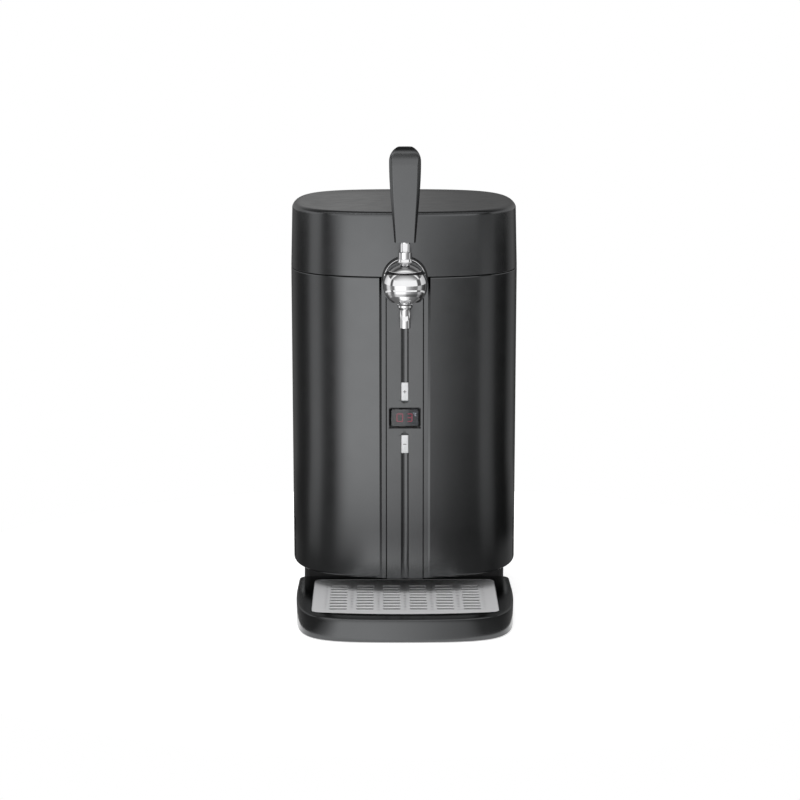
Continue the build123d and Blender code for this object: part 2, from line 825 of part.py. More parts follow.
with BuildPart() as top_deck:
    loft(sections=case_sections(deck_bottom, curb_top, wall + deck_clearance), ruled=True)
    loft(
        sections=case_sections(deck_top, curb_top, wall + deck_clearance + curb_width),
        ruled=True,
        mode=Mode.SUBTRACT,
    )
    with Locations((0, axis_y, 0)):
        Cylinder(liner_outer + foam_clearance, 2 * deck_top, align=upward, mode=Mode.SUBTRACT)
    with Locations((0, axis_y - backing_back + deck_clearance - front_depth, 0)):
        Box(
            2 * (recess_half_width + recess_lap + deck_clearance),
            2 * front_depth,
            3 * deck_top,
            align=upward,
            mode=Mode.SUBTRACT,
        )
    with Locations((0, axis_y - nut_notch_rear - front_depth, 0)):
        Box(2 * nut_notch_half_width, 2 * front_depth, 3 * deck_top, align=upward, mode=Mode.SUBTRACT)
    with Locations((coupler_x, axis_y + coupler_back, deck_top)):
        Cylinder(coupler_post_radius, coupler_radius, align=upward)
    # clips that hold the beer hose
    with Locations(*[(hose_side_reach, axis_y + row, deck_top) for row in hose_clip_rows]):
        Box(2 * (hose_radius + hose_clip_wall), hose_clip_width, hose_clip_height, align=upward)
    with BuildSketch(facing(-sum(hose_clip_rows) / 2, shank_height)):
        with Locations((hose_side_reach, 0)):
            Circle(hose_radius + foam_clearance / 2)
    extrude(amount=max(hose_clip_rows) + hose_clip_width, both=True, mode=Mode.SUBTRACT)
finish(top_deck.part, "top_deck")

gasket_inset = wall + deck_clearance + (curb_width - gasket_width) / 2
with BuildPart() as lid_gasket:
    extrude(to_extrude=case_plan(curb_top, gasket_inset), amount=lid_bottom - gasket_gap - curb_top)
    extrude(
        to_extrude=case_plan(curb_top, gasket_inset + gasket_width),
        amount=lid_bottom,
        mode=Mode.SUBTRACT,
    )
    with Locations((0, axis_y - backing_back + deck_clearance - front_depth, 0)):
        Box(
            2 * (recess_half_width + recess_lap + deck_clearance),
            2 * front_depth,
            3 * deck_top,
            align=upward,
            mode=Mode.SUBTRACT,
        )
finish(lid_gasket.part, "lid_gasket")

# ---------------------------------------------------------------- cooler, fan and rear cover
sink_screw_x = cold_block_width / 2 - 4.5
rotor_depth = fan_depth - fan_strut - 2.0

with BuildPart() as cold_block:
    with Locations((0, axis_y + block_rear - foam_radius / 4, cooler_height)):
        Box(cold_block_width, foam_radius / 2, cold_block_tall)
    with Locations((0, axis_y, 0)):
        Cylinder(liner_outer + paste_gap, 2 * deck_top, align=upward, mode=Mode.SUBTRACT)
    with Locations((0, axis_y + block_rear - cold_block_depth / 2, cooler_height + cold_block_tall / 2)):
        Cylinder(probe_radius + running_clearance, 2 * probe_length, mode=Mode.SUBTRACT)
    with BuildSketch(facing(-block_rear, cooler_height)):
        with GridLocations(2 * sink_screw_x, 0, 2, 1):
            Circle(screw_radius + screw_clearance)
    extrude(amount=12, mode=Mode.SUBTRACT)
finish(cold_block.part, "cold_block")

with BuildPart() as temperature_probe:
    with Locations((0, axis_y + block_rear - cold_block_depth / 2, cooler_height + cold_block_tall / 2)):
        Cylinder(probe_radius, probe_length, align=downward)
finish(temperature_probe.part, "temperature_probe")

with BuildPart() as peltier_module:
    with Locations((0, axis_y + block_rear + paste_gap + peltier_thickness / 2, cooler_height)):
        Box(peltier_size, peltier_thickness, peltier_size)
finish(peltier_module.part, "peltier_module")

with BuildPart() as heat_sink:
    with Locations((0, axis_y + sink_front + sink_base / 2, cooler_height)):
        Box(sink_width, sink_base, sink_tall)
    with Locations((0, axis_y + sink_front + sink_base + sink_depth / 2, cooler_height)):
        with GridLocations((sink_width - sink_fin_thickness) / (sink_fin_count - 1), 0, sink_fin_count, 1):
            Box(sink_fin_thickness, sink_depth, sink_tall)
    with BuildSketch(facing(-sink_front + 1, cooler_height)):
        with GridLocations(2 * sink_screw_x, 0, 2, 1):
            Circle(screw_radius + screw_clearance)
    extrude(amount=-sink_base - 2, mode=Mode.SUBTRACT)
    with BuildSketch(facing(-sink_front - sink_base, cooler_height)):
        with GridLocations(2 * sink_screw_x, 0, 2, 1):
            Circle(screw_head_radius + 0.5)
    extrude(amount=-sink_depth - 1, mode=Mode.SUBTRACT)
    with BuildSketch(facing(-fan_front, cooler_height)):
        with GridLocations(fan_hole_pitch, fan_hole_pitch, 2, 2):
            Circle(screw_radius + screw_clearance)
    extrude(amount=10, mode=Mode.SUBTRACT)
finish(heat_sink.part, "heat_sink")

with BuildPart() as sink_screws:
    with BuildSketch(facing(-sink_front - sink_base, cooler_height)):
        with GridLocations(2 * sink_screw_x, 0, 2, 1):
            Circle(screw_head_radius)
    extrude(amount=-screw_head)
    with BuildSketch(facing(-sink_front - sink_base, cooler_height)):
        with GridLocations(2 * sink_screw_x, 0, 2, 1):
            Circle(screw_radius)
    extrude(amount=sink_front + sink_base - block_rear + 10)
finish(sink_screws.part, "sink_screws")

with BuildPart() as fan_frame:
    with BuildSketch(facing(-fan_front, cooler_height)):
        RectangleRounded(fan_size, fan_size, 3)
        Circle(fan_bore_radius, mode=Mode.SUBTRACT)
        with GridLocations(fan_hole_pitch, fan_hole_pitch, 2, 2):
            Circle(screw_radius + 0.3, mode=Mode.SUBTRACT)
    extrude(amount=-fan_depth)
    with BuildSketch(facing(-fan_rear + fan_strut, cooler_height)):
        Circle(fan_hub_radius)
        Rectangle(2 * fan_bore_radius + 1, 4)
        Rectangle(4, 2 * fan_bore_radius + 1)
        Circle(fan_shaft_radius + running_clearance, mode=Mode.SUBTRACT)
    extrude(amount=-fan_strut)
finish(fan_frame.part, "fan_frame")

with BuildPart() as fan_screws:
    with BuildSketch(facing(-fan_rear, cooler_height)):
        with GridLocations(fan_hole_pitch, fan_hole_pitch, 2, 2):
            Circle(screw_head_radius)
    extrude(amount=-screw_head)
    with BuildSketch(facing(-fan_rear, cooler_height)):
        with GridLocations(fan_hole_pitch, fan_hole_pitch, 2, 2):
            Circle(screw_radius)
    extrude(amount=fan_depth + fan_spacing + 7)
finish(fan_screws.part, "fan_screws")

blade_root = fan_hub_radius - 1.5
blade_reach = fan_bore_radius - fan_tip_gap
blade_middle = (blade_root + blade_reach) / 2
rotor_middle = (0, axis_y + fan_front + 1 + rotor_depth / 2, cooler_height)
blade_turns = [Location(rotor_middle, (0, 360 / fan_blade_count * i, 0)) for i in range(fan_blade_count)]
blade_places = [turn * Location((blade_middle, 0, 0), (fan_blade_pitch, 0, 0)) for turn in blade_turns]
with BuildPart() as fan_rotor:
    with BuildSketch(facing(-fan_front - 1, cooler_height)):
        Circle(fan_hub_radius)
    extrude(amount=-rotor_depth)
    with Locations(*blade_places):
        Box(blade_reach - blade_root, fan_blade_chord, fan_blade_thickness)
    with BuildSketch(facing(-fan_front - 1 - rotor_depth, cooler_height)):
        Circle(fan_shaft_radius)
    extrude(amount=-fan_strut)
finish(fan_rotor.part, "fan_rotor")

entry_face = rear_depth - case_draft(entry_height) + entry_proud
guard_rows = range(-int(guard_radius // guard_pitch), int(guard_radius // guard_pitch) + 1)
head_seat = cover_screw_depth + 2.0

with BuildPart() as rear_cover:
    loft(sections=case_sections(cover_bottom, cover_top), ruled=True)
    loft(
        sections=case_sections(cover_bottom, cover_top, rebate_depth - cover_seat_gap),
        ruled=True,
        mode=Mode.SUBTRACT,
    )
    with Locations((0, axis_y + rear_depth, cover_middle)):
        Box(2 * cover_half_width, rear_depth, 2 * cover_top, mode=Mode.INTERSECT)
    with BuildSketch(facing(-cover_screw_depth, cover_middle)):
        with GridLocations(2 * cover_screw_x, 2 * cover_screw_z, 2, 2):
            Circle(cover_boss_radius)
    extrude(amount=-(rear_depth - cover_screw_depth) / 2)
    with BuildSketch(facing(-head_seat, cover_middle)):
        with GridLocations(2 * cover_screw_x, 2 * cover_screw_z, 2, 2):
            Circle(screw_head_radius + 0.3)
    extrude(amount=-30, mode=Mode.SUBTRACT)
    with BuildSketch(facing(-cover_screw_depth + 1, cover_middle)):
        with GridLocations(2 * cover_screw_x, 2 * cover_screw_z, 2, 2):
            Circle(screw_radius + 0.2)
    extrude(amount=-5, mode=Mode.SUBTRACT)
    # fan guard: level slots in a round field
    with BuildSketch(facing(-rear_depth + 20, cooler_height)):
        for row in guard_rows:
            chord = 2 * sqrt(max(guard_radius**2 - (row * guard_pitch) ** 2, guard_slot**2))
            with Locations((0, row * guard_pitch)):
                SlotOverall(chord, guard_slot)
    extrude(amount=-40, mode=Mode.SUBTRACT)
    # flat pad for the power entry
    with Locations((0, axis_y + entry_face - entry_thickness / 2, entry_height)):
        Box(2 * entry_half_width, entry_thickness, 2 * entry_half_tall)
    with BuildSketch(facing(-entry_face - 1, entry_height)):
        with Locations((inlet_offset, 0)):
            Rectangle(inlet_width + 0.4, inlet_tall + 0.4)
        with Locations((switch_offset, 0)):
            Rectangle(switch_width + 0.4, switch_tall + 0.4)
    extrude(amount=entry_thickness + 2, mode=Mode.SUBTRACT)
finish(rear_cover.part, "rear_cover")

with BuildPart() as rear_screws:
    with BuildSketch(facing(-head_seat, cover_middle)):
        with GridLocations(2 * cover_screw_x, 2 * cover_screw_z, 2, 2):
            Circle(screw_head_radius)
    extrude(amount=-screw_head)
    with BuildSketch(facing(-head_seat, cover_middle)):
        with GridLocations(2 * cover_screw_x, 2 * cover_screw_z, 2, 2):
            Circle(screw_radius)
    extrude(amount=head_seat - cover_screw_depth + cover_boss_depth)
finish(rear_screws.part, "rear_screws")

with BuildPart() as power_board:
    with Locations((0, axis_y + power_board_back, inner_floor + standoff_height)):
        Box(2 * power_board_half_width, 2 * power_board_half_depth, board_thickness, align=upward)
    with Locations((0, axis_y + power_board_back, inner_floor + standoff_height + board_thickness)):
        with Locations((-20, 14, 0)):
            Box(*transformer, align=upward)
        with Locations((24, 28, 0), (24, 8, 0)):
            Cylinder(capacitor_radius, capacitor_height, align=upward)
        with Locations((0, -20, 0)):
            Box(*cooling_plate, align=upward)
        with Locations((-28, -40, 0), (28, -40, 0)):
            Box(*terminal, align=upward)
        with Locations((26, -12, 0)):
            Box(*fuse, align=upward)
finish(power_board.part, "power_board")

contact_spots = [(inlet_offset, 3.4), (inlet_offset - 6.5, -2.6), (inlet_offset + 6.5, -2.6)]
with BuildPart() as power_inlet:
    with BuildSketch(facing(-entry_face, entry_height)):
        with Locations((inlet_offset, 0)):
            Rectangle(inlet_width, inlet_tall)
    extrude(amount=inlet_depth)
    with BuildSketch(facing(-entry_face, entry_height)):
        with Locations((inlet_offset, 0)):
            RectangleRounded(inlet_width + 4, inlet_tall + 4, 2)
    extrude(amount=-inlet_flange)
    with BuildSketch(facing(-entry_face - inlet_flange, entry_height)):
        with Locations((inlet_offset, 0)):
            Rectangle(inlet_width - 2 * inlet_wall, inlet_tall - 2 * inlet_wall)
    extrude(amount=inlet_depth + inlet_flange - inlet_wall, mode=Mode.SUBTRACT)
    with BuildSketch(facing(-entry_face + inlet_depth - inlet_wall, entry_height)):
        with Locations(*contact_spots):
            Rectangle(2, 4)
    extrude(amount=-inlet_depth + 2 * inlet_wall)
finish(power_inlet.part, "power_inlet")

rocker_axis = entry_face - 0.5
rocker_half = switch_tall / 2 - switch_wall - rocker_clearance - 0.3
rocker_width = switch_width - 2 * switch_wall - 2 * rocker_clearance
rocker_pin_radius = 1.2
with BuildPart() as switch_frame:
    with BuildSketch(facing(-entry_face, entry_height)):
        with Locations((switch_offset, 0)):
            Rectangle(switch_width, switch_tall)
    extrude(amount=switch_depth)
    with BuildSketch(facing(-entry_face, entry_height)):
        with Locations((switch_offset, 0)):
            RectangleRounded(switch_width + 3, switch_tall + 3, 1)
    extrude(amount=-switch_wall)
    with BuildSketch(facing(-entry_face - switch_wall, entry_height)):
        with Locations((switch_offset, 0)):
            Rectangle(switch_width - 2 * switch_wall, switch_tall - 2 * switch_wall)
    extrude(amount=switch_depth, mode=Mode.SUBTRACT)
    with BuildSketch(across(switch_offset - rocker_width / 2 - 1.1, entry_height)):
        with Locations((rocker_axis, 0)):
            Circle(rocker_pin_radius + running_clearance)
    extrude(amount=rocker_width + 2.2, mode=Mode.SUBTRACT)
finish(switch_frame.part, "switch_frame")

with BuildPart() as power_rocker:
    with BuildSketch(across(switch_offset - rocker_width / 2, entry_height)):
        with Locations(Location((rocker_axis, 0, 0), (0, 0, -rocker_tilt))):
            Polygon(
                (3.4, rocker_half),
                (2.2, 0),
                (3.4, -rocker_half),
                (-1.0, -rocker_half),
                (-5.0, -4.0),
                (-5.0, 4.0),
                (-1.0, rocker_half),
                align=None,
            )
    extrude(amount=rocker_width)
    with BuildSketch(across(switch_offset - rocker_width / 2 - 1.0, entry_height)):
        with Locations((rocker_axis, 0)):
            Circle(rocker_pin_radius)
    extrude(amount=rocker_width + 2.0)
finish(power_rocker.part, "power_rocker")

# ---------------------------------------------------------------- tap
rosette_height = tap_height + rosette_rise
shank_front = valve_seat + 8.2
rosette_back = panel_front + rosette_standoff
nut_thickness = 6.0
nut_flats = 24.0

with BuildPart() as tap_rosette:
    with BuildSketch(facing(rosette_back, rosette_height)):
        Circle(rosette_radius)
    extrude(amount=rosette_thickness)
    fillet(tap_rosette.faces().sort_by(Axis.Y)[0].edges(), 0.8)
    with BuildSketch(facing(panel_front, shank_height)):
        Circle(rosette_boss_radius)
    extrude(amount=rosette_standoff)
    with BuildSketch(facing(panel_front - 1, shank_height)):
        Circle(shank_hole_radius)
    extrude(amount=10, mode=Mode.SUBTRACT)
finish(tap_rosette.part, "tap_rosette")

lever_angle = radians(lever_range)
slot_side = lever_shaft_radius + slide_clearance
slot_far = 2 * ball_radius
slot_corners = [
    (slot_side, 0),
    (slot_side, slot_far),
    (
        -slot_far * sin(lever_angle) - slot_side * cos(lever_angle),
        slot_far * cos(lever_angle) - slot_side * sin(lever_angle),
    ),
    (-slot_side * cos(lever_angle), -slot_side * sin(lever_angle)),
]
slot_wide = lever_eye_width + 2 * slide_clearance
tip_room = finger_ball_radius + 0.4
passage_rear = valve_seat - 1.4
tap_center = (0, tap_y, tap_height)

with BuildPart() as tap_body:
    with Locations(tap_center):
        Sphere(ball_radius)
    with Locations((0, tap_y, tap_height - ball_flat_drop)):
        Box(3 * ball_radius, 3 * ball_radius, ball_radius, align=downward, mode=Mode.SUBTRACT)
    # slot for the lever's shaft, and the pocket its eye turns in
    with BuildSketch(across(-slot_wide / 2, tap_height)):
        with Locations((-tap_reach, 0)):
            Polygon(*slot_corners, align=None)
            Circle(lever_eye_radius + slide_clearance)
    extrude(amount=slot_wide, mode=Mode.SUBTRACT)
    # passage for the finger, down into the valve's bore
    with Locations((0, tap_y + (passage_rear - tip_room) / 2, tap_height - shank_drop)):
        Box(2 * tip_room, passage_rear + tip_room, shank_drop, align=upward, mode=Mode.SUBTRACT)
    with BuildSketch(facing(tap_reach + 13, shank_height)):
        Circle(plunger_radius + plunger_clearance)
    extrude(amount=-13 - valve_seat, mode=Mode.SUBTRACT)
    with BuildSketch(facing(tap_reach - valve_seat, shank_height)):
        Circle(valve_chamber_radius)
    extrude(amount=-shank_front + valve_seat, mode=Mode.SUBTRACT)
    with BuildSketch(facing(tap_reach - shank_front, shank_height)):
        Circle(shank_radius + screw_clearance)
    extrude(amount=-ball_radius, mode=Mode.SUBTRACT)
    # spout bore and the socket that takes the nozzle
    with Locations((0, tap_y, tap_height - ball_flat_drop - 1)):
        Cylinder(shank_bore_radius, ball_flat_drop - shank_drop + 1, align=upward, mode=Mode.SUBTRACT)
        Cylinder(spigot_radius + screw_clearance, spigot_length + 1.2, align=upward, mode=Mode.SUBTRACT)
    # the lever's pin, put in from the right
    with BuildSketch(across(-14, tap_height)):
        with Locations((-tap_reach, 0)):
            Circle(pin_radius + running_clearance)
    extrude(amount=14 + ball_radius, mode=Mode.SUBTRACT)
finish(tap_body.part, "tap_body")

with BuildPart() as tap_shank:
    with BuildSketch(facing(tap_reach - shank_front, shank_height)):
        Circle(shank_radius)
        Circle(shank_bore_radius, mode=Mode.SUBTRACT)
    extrude(amount=-(tap_reach - shank_front - backing_back + nut_thickness))
finish(tap_shank.part, "tap_shank")

with BuildPart() as shank_nut:
    with BuildSketch(facing(backing_back, shank_height)):
        RegularPolygon(nut_flats / 2, 6, major_radius=False)
        Circle(shank_radius + screw_clearance, mode=Mode.SUBTRACT)
    extrude(amount=-nut_thickness)
finish(shank_nut.part, "shank_nut")

elbow_radius = hose_radius + foam_clearance / 2
elbow_back = backing_back - nut_thickness
with BuildPart() as shank_elbow:
    with BuildSketch(facing(elbow_back, shank_height)):
        Circle(elbow_radius)
    extrude(amount=-(elbow_back - hose_front_depth) - elbow_radius)
    with BuildSketch(facing(elbow_back, shank_height)):
        Circle(shank_bore_radius - screw_clearance)
    extrude(amount=6)
    with BuildSketch(across(0, shank_height)):
        with Locations((-hose_front_depth, 0)):
            Circle(barb_radius)
    extrude(amount=8 + barb_length)
    with BuildSketch(across(0, shank_height)):
        with Locations((-hose_front_depth, 0)):
            Circle(1.8)
    extrude(amount=8 + barb_length, mode=Mode.SUBTRACT)
    with BuildSketch(facing(elbow_back + 6, shank_height)):
        Circle(1.8)
    extrude(amount=-6 - (elbow_back - hose_front_depth), mode=Mode.SUBTRACT)
finish(shank_elbow.part, "shank_elbow")

collar_top = tap_height - ball_flat_drop - spout_neck
with BuildPart() as spout_nozzle:
    with Locations((0, tap_y, collar_top)):
        Cylinder(spigot_radius, spout_neck + spigot_length, align=upward)
        Cylinder(spout_collar_radius, spout_collar_height, align=downward)
        Cylinder(spout_radius, spout_length - spout_neck, align=downward)
    with Locations((0, tap_y, collar_top - spout_collar_height)):
        Cone(spout_radius, spout_collar_radius, spout_taper_height, align=downward)
    with Locations((0, tap_y, collar_top)):
        Cylinder(spout_bore_radius, 3 * spout_length, mode=Mode.SUBTRACT)
finish(spout_nozzle.part, "spout_nozzle")

with BuildPart() as lever_pin:
    with BuildSketch(across(-14, tap_height)):
        with Locations((-tap_reach, 0)):
            Circle(pin_radius)
    extrude(amount=14 + ball_radius - 1.3)
finish(lever_pin.part, "lever_pin")

plunger_front = tap_reach + 9.0
guide_back = 3.6
guide_half = 3.1
with BuildPart() as valve_plunger:
    # front guide, flattened on top and at the sides so that beer passes it
    with BuildSketch(facing(plunger_front, shank_height)):
        Circle(plunger_radius)
        with Locations((0, -1.4)):
            Rectangle(2 * guide_half, 2 * plunger_radius, mode=Mode.INTERSECT)
    extrude(amount=-(9.0 + guide_back))
    with BuildSketch(facing(tap_reach - guide_back, shank_height)):
        Circle(plunger_radius * 0.6)
    extrude(amount=-(valve_seat - guide_back))
    with BuildSketch(facing(tap_reach - valve_seat, shank_height)):
        Circle(plunger_head_radius)
    extrude(amount=-plunger_head)
    with Locations((0, tap_y, shank_height - tip_room)):
        Box(3 * plunger_radius, 2 * tip_room, 20, align=upward, mode=Mode.SUBTRACT)
finish(valve_plunger.part, "valve_plunger")

hood_arch_drop = hood_arch_radius - hood_edge_rise
neck_foot_radius = hood_neck_radius + 1.75
neck_foot = sqrt(hood_radius**2 - neck_foot_radius**2) - 0.7
neck_top = tap_height + hood_neck_rise
shaft_bore = lever_shaft_radius + screw_clearance
with BuildPart() as tap_hood:
    with Locations(tap_center):
        Sphere(hood_radius)
    with Locations((0, tap_y, tap_height + neck_foot)):
        Cone(neck_foot_radius, hood_neck_radius, 2.4, align=upward)
        Cylinder(hood_neck_radius, hood_neck_rise - neck_foot, align=upward)
    with Locations(tap_center):
        Sphere(ball_radius + hood_gap, mode=Mode.SUBTRACT)
    with BuildSketch(facing(tap_reach + 2 * ball_radius, tap_height - hood_arch_drop)):
        Circle(hood_arch_radius)
    extrude(amount=-4 * ball_radius, mode=Mode.SUBTRACT)
    with Locations(tap_center):
        Cylinder(shaft_bore, 2 * hood_neck_rise, align=upward, mode=Mode.SUBTRACT)
finish(tap_hood.part, "tap_hood")

stem_foot = neck_top + collar_height
handle_foot = stem_foot + stem_height
with BuildPart() as lever_stem:
    with Locations(tap_center):
        Cylinder(lever_shaft_radius, handle_foot + stem_thread_height - tap_height, align=upward)
    with Locations((0, tap_y, neck_top)):
        Cylinder(hood_neck_radius, collar_height, align=upward)
    with Locations((0, tap_y, stem_foot)):
        Cylinder(stem_radius, stem_height, align=upward)
    with BuildSketch(across(-lever_eye_width / 2, tap_height)):
        with Locations((-tap_reach, 0)):
            Circle(lever_eye_radius)
    extrude(amount=lever_eye_width)
    with Locations((0, tap_y, shank_height)):
        Cylinder(finger_neck_radius, finger_reach - lever_eye_radius / 2, align=upward)
        Sphere(finger_ball_radius)
    with BuildSketch(across(-lever_eye_width, tap_height)):
        with Locations((-tap_reach, 0)):
            Circle(pin_radius + running_clearance)
    extrude(amount=2 * lever_eye_width, mode=Mode.SUBTRACT)
finish(lever_stem.part, "lever_stem")


def handle_outline(depth, inset=0.0, foot_inset=None):
    """Front outline of the handle: it widens upwards to a round head."""
    foot = handle_foot_half_width - (inset if foot_inset is None else foot_inset)
    head = handle_head_half_width - inset
    shoulder = handle_length - handle_head_half_width
    with BuildSketch(facing(depth, handle_foot)) as outline:
        with BuildLine():
            Line((0, 0), (foot, 0))
            Bezier(
                (foot, 0),
                (foot + 0.45 * (head - foot), 0.4 * shoulder),
                (head, 0.67 * shoulder),
                (head, shoulder),
            )
            CenterArc((0, shoulder), head, 0, 90)
            mirror(about=Plane.YZ)
        make_face()
    return outline.sketch


handle_front = tap_reach + handle_depth / 2
handle_rear = tap_reach - handle_depth / 2
nose_center = handle_length - handle_nose_radius
with BuildPart() as lever_handle:
    loft(
        sections=[
            handle_outline(handle_front, handle_bevel, handle_foot_bevel),
            handle_outline(handle_front - handle_bevel),
        ],
        ruled=True,
    )
    extrude(
        to_extrude=handle_outline(handle_front - handle_bevel),
        amount=-(handle_depth - handle_bevel - handle_back_bevel),
    )
    loft(
        sections=[
            handle_outline(handle_rear + handle_back_bevel),
            handle_outline(handle_rear, handle_back_bevel),
        ],
        ruled=True,
    )
    with BuildSketch(across(-2 * handle_head_half_width, handle_foot)):
        with BuildLine():
            Line((-handle_front - 1, nose_center), (-handle_front, nose_center))
            RadiusArc(
                (-handle_front, nose_center),
                (-handle_front + handle_nose_radius, handle_length),
                handle_nose_radius,
            )
            Polyline(
                (-handle_front + handle_nose_radius, handle_length),
                (-handle_front + handle_nose_radius, handle_length + 5),
                (-handle_front - 1, handle_length + 5),
                (-handle_front - 1, nose_center),
            )
        make_face()
    extrude(amount=4 * handle_head_half_width, mode=Mode.SUBTRACT)
    with Locations((0, tap_y, handle_foot)):
        Cylinder(shaft_bore, stem_thread_height + 1, align=upward, mode=Mode.SUBTRACT)
finish(lever_handle.part, "lever_handle")

# ---------------------------------------------------------------- beer hose and coupler
coupler_turn = sqrt((hose_side_reach - coupler_x) ** 2 + (coupler_back - hose_turn) ** 2)
toward = ((hose_side_reach - coupler_x) / coupler_turn, (hose_turn - coupler_back) / coupler_turn)
hose_end = (coupler_x + (coupler_radius + 1) * toward[0], coupler_back + (coupler_radius + 1) * toward[1])
hose_start = (8.0, -hose_front_depth)
hose_way = [hose_start, (hose_side_reach, -hose_front_depth), (hose_side_reach, hose_turn), hose_end]

with BuildPart() as beer_hose:
    with BuildLine(level(shank_height)):
        FilletPolyline(*hose_way, radius=hose_bend)
    with BuildSketch(across(hose_way[0][0], shank_height)):
        with Locations((-hose_front_depth, 0)):
            Circle(hose_radius)
            Circle(hose_bore_radius, mode=Mode.SUBTRACT)
    sweep()
finish(beer_hose.part, "beer_hose")

coupler_foot = deck_top + foam_clearance
barb_start = coupler_radius - 2.0
with BuildPart() as keg_coupler:
    with Locations((coupler_x, axis_y + coupler_back, coupler_foot)):
        Cylinder(coupler_radius, 12, align=upward)
    with Locations((coupler_x, axis_y + coupler_back, coupler_foot + 12)):
        Cylinder(coupler_radius * 0.7, coupler_height - 16, align=upward)
    with Locations((coupler_x, axis_y + coupler_back, coupler_foot + coupler_height - 4)):
        Cylinder(coupler_radius + 1, 4, align=upward)
    with Locations((coupler_x, axis_y + coupler_back, coupler_foot - 1)):
        Cylinder(coupler_post_radius + 0.2, coupler_radius + 1.3, align=upward, mode=Mode.SUBTRACT)
    barb_plane = Plane(
        (coupler_x + barb_start * toward[0], axis_y + coupler_back + barb_start * toward[1], shank_height),
        z_dir=(toward[0], toward[1], 0),
    )
    with BuildSketch(barb_plane):
        Circle(barb_radius)
    extrude(amount=barb_length + 2)
finish(keg_coupler.part, "keg_coupler")

# ---------------------------------------------------------------- lid
ceiling = lid_top - dish_depth - wall
liner_roof = lid_bottom + lid_liner_rise
lid_lip = lid_bottom + liner_wall
dish_over = 0.05

with BuildPart() as lid_shell:
    loft(sections=case_sections(lid_bottom, lid_top), ruled=True)
    fillet(lid_shell.faces().sort_by(Axis.Z)[-1].edges(), lid_edge_radius)
    loft(
        sections=[
            case_plan(lid_top - dish_depth, dish_inset),
            case_plan(lid_top + dish_over, dish_rim - dish_over * (dish_inset - dish_rim) / dish_depth),
        ],
        ruled=True,
        mode=Mode.SUBTRACT,
    )
    for side in (-1, 1):
        extrude(to_extrude=hinge_leaf(side * hinge_offset - knuckle_reach, 1), amount=knuckle_width)
    loft(sections=case_sections(lid_bottom, ceiling, wall), ruled=True, mode=Mode.SUBTRACT)
    with BuildSketch(across(-half_width)):
        with Locations((hinge_back, seam_height)):
            Circle(hinge_pin_radius + running_clearance)
    extrude(amount=2 * half_width, mode=Mode.SUBTRACT)
finish(lid_shell.part, "lid_shell")

with BuildPart() as lid_liner:
    loft(sections=case_sections(lid_bottom, liner_roof, wall + lid_fit), ruled=True)
    loft(
        sections=case_sections(lid_lip, liner_roof - liner_wall, wall + lid_fit + lid_liner_wall),
        ruled=True,
        mode=Mode.SUBTRACT,
    )
    loft(
        sections=case_sections(lid_bottom - 1, lid_lip, wall + lid_fit + lid_lip_width),
        ruled=True,
        mode=Mode.SUBTRACT,
    )
finish(lid_liner.part, "lid_liner")

with BuildPart() as lid_insulation:
    loft(
        sections=case_sections(liner_roof + foam_clearance, ceiling - foam_clearance, wall + lid_fit),
        ruled=True,
    )
finish(lid_insulation.part, "lid_insulation")

pin_reach = knuckle_reach + ear_gap + ear_width
with BuildPart() as hinge_pins:
    for side in (-1, 1):
        with BuildSketch(across(side * hinge_offset - pin_reach)):
            with Locations((hinge_back, seam_height)):
                Circle(hinge_pin_radius)
        extrude(amount=2 * pin_reach)
finish(hinge_pins.part, "hinge_pins")

# ---------------------------------------------------------------- drip tray and grille
tray_under = tongue_top + tray_glide
tray_well_floor = tray_under + tray_floor
grille_seat = tray_top - grille_sink - grille_thickness

with BuildPart() as drip_tray:
    extrude(to_extrude=tray_plan(tray_skirt_bottom), amount=tray_top - tray_skirt_bottom)
    fillet(drip_tray.faces().sort_by(Axis.Z)[-1].edges(), tray_edge_radius)
    # hollow under the frame, all but the well
    extrude(
        to_extrude=tray_plan(tray_under, tray_wall),
        amount=tray_top - tray_frame - tray_under,
        mode=Mode.SUBTRACT,
    )
    extrude(
        to_extrude=grille_plan(tray_under, grille_ledge - tray_wall),
        amount=tray_top - tray_frame - tray_under,
    )
    extrude(
        to_extrude=tray_plan(tray_skirt_bottom - 1, tray_wall, tray_rear - 3 * tray_wall),
        amount=tray_under - tray_skirt_bottom + 1,
        mode=Mode.SUBTRACT,
    )
    # seat for the grille, then the well
    extrude(to_extrude=grille_plan(grille_seat, -grille_clearance), amount=10, mode=Mode.SUBTRACT)
    extrude(to_extrude=grille_plan(tray_well_floor, grille_ledge), amount=tray_top, mode=Mode.SUBTRACT)
finish(drip_tray.part, "drip_tray")

with BuildPart() as drip_grille:
    extrude(to_extrude=grille_plan(grille_seat), amount=grille_thickness)
    with BuildSketch(level(grille_seat - 1)):
        with Locations((0, -(grille_front + grille_rear) / 2 - 2.1)):
            with GridLocations(slot_pitch_x, slot_pitch_y, slot_columns, slot_rows):
                Rectangle(slot_length, slot_width)
    extrude(amount=grille_thickness + 2, mode=Mode.SUBTRACT)
finish(drip_grille.part, "drip_grille")
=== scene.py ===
import math

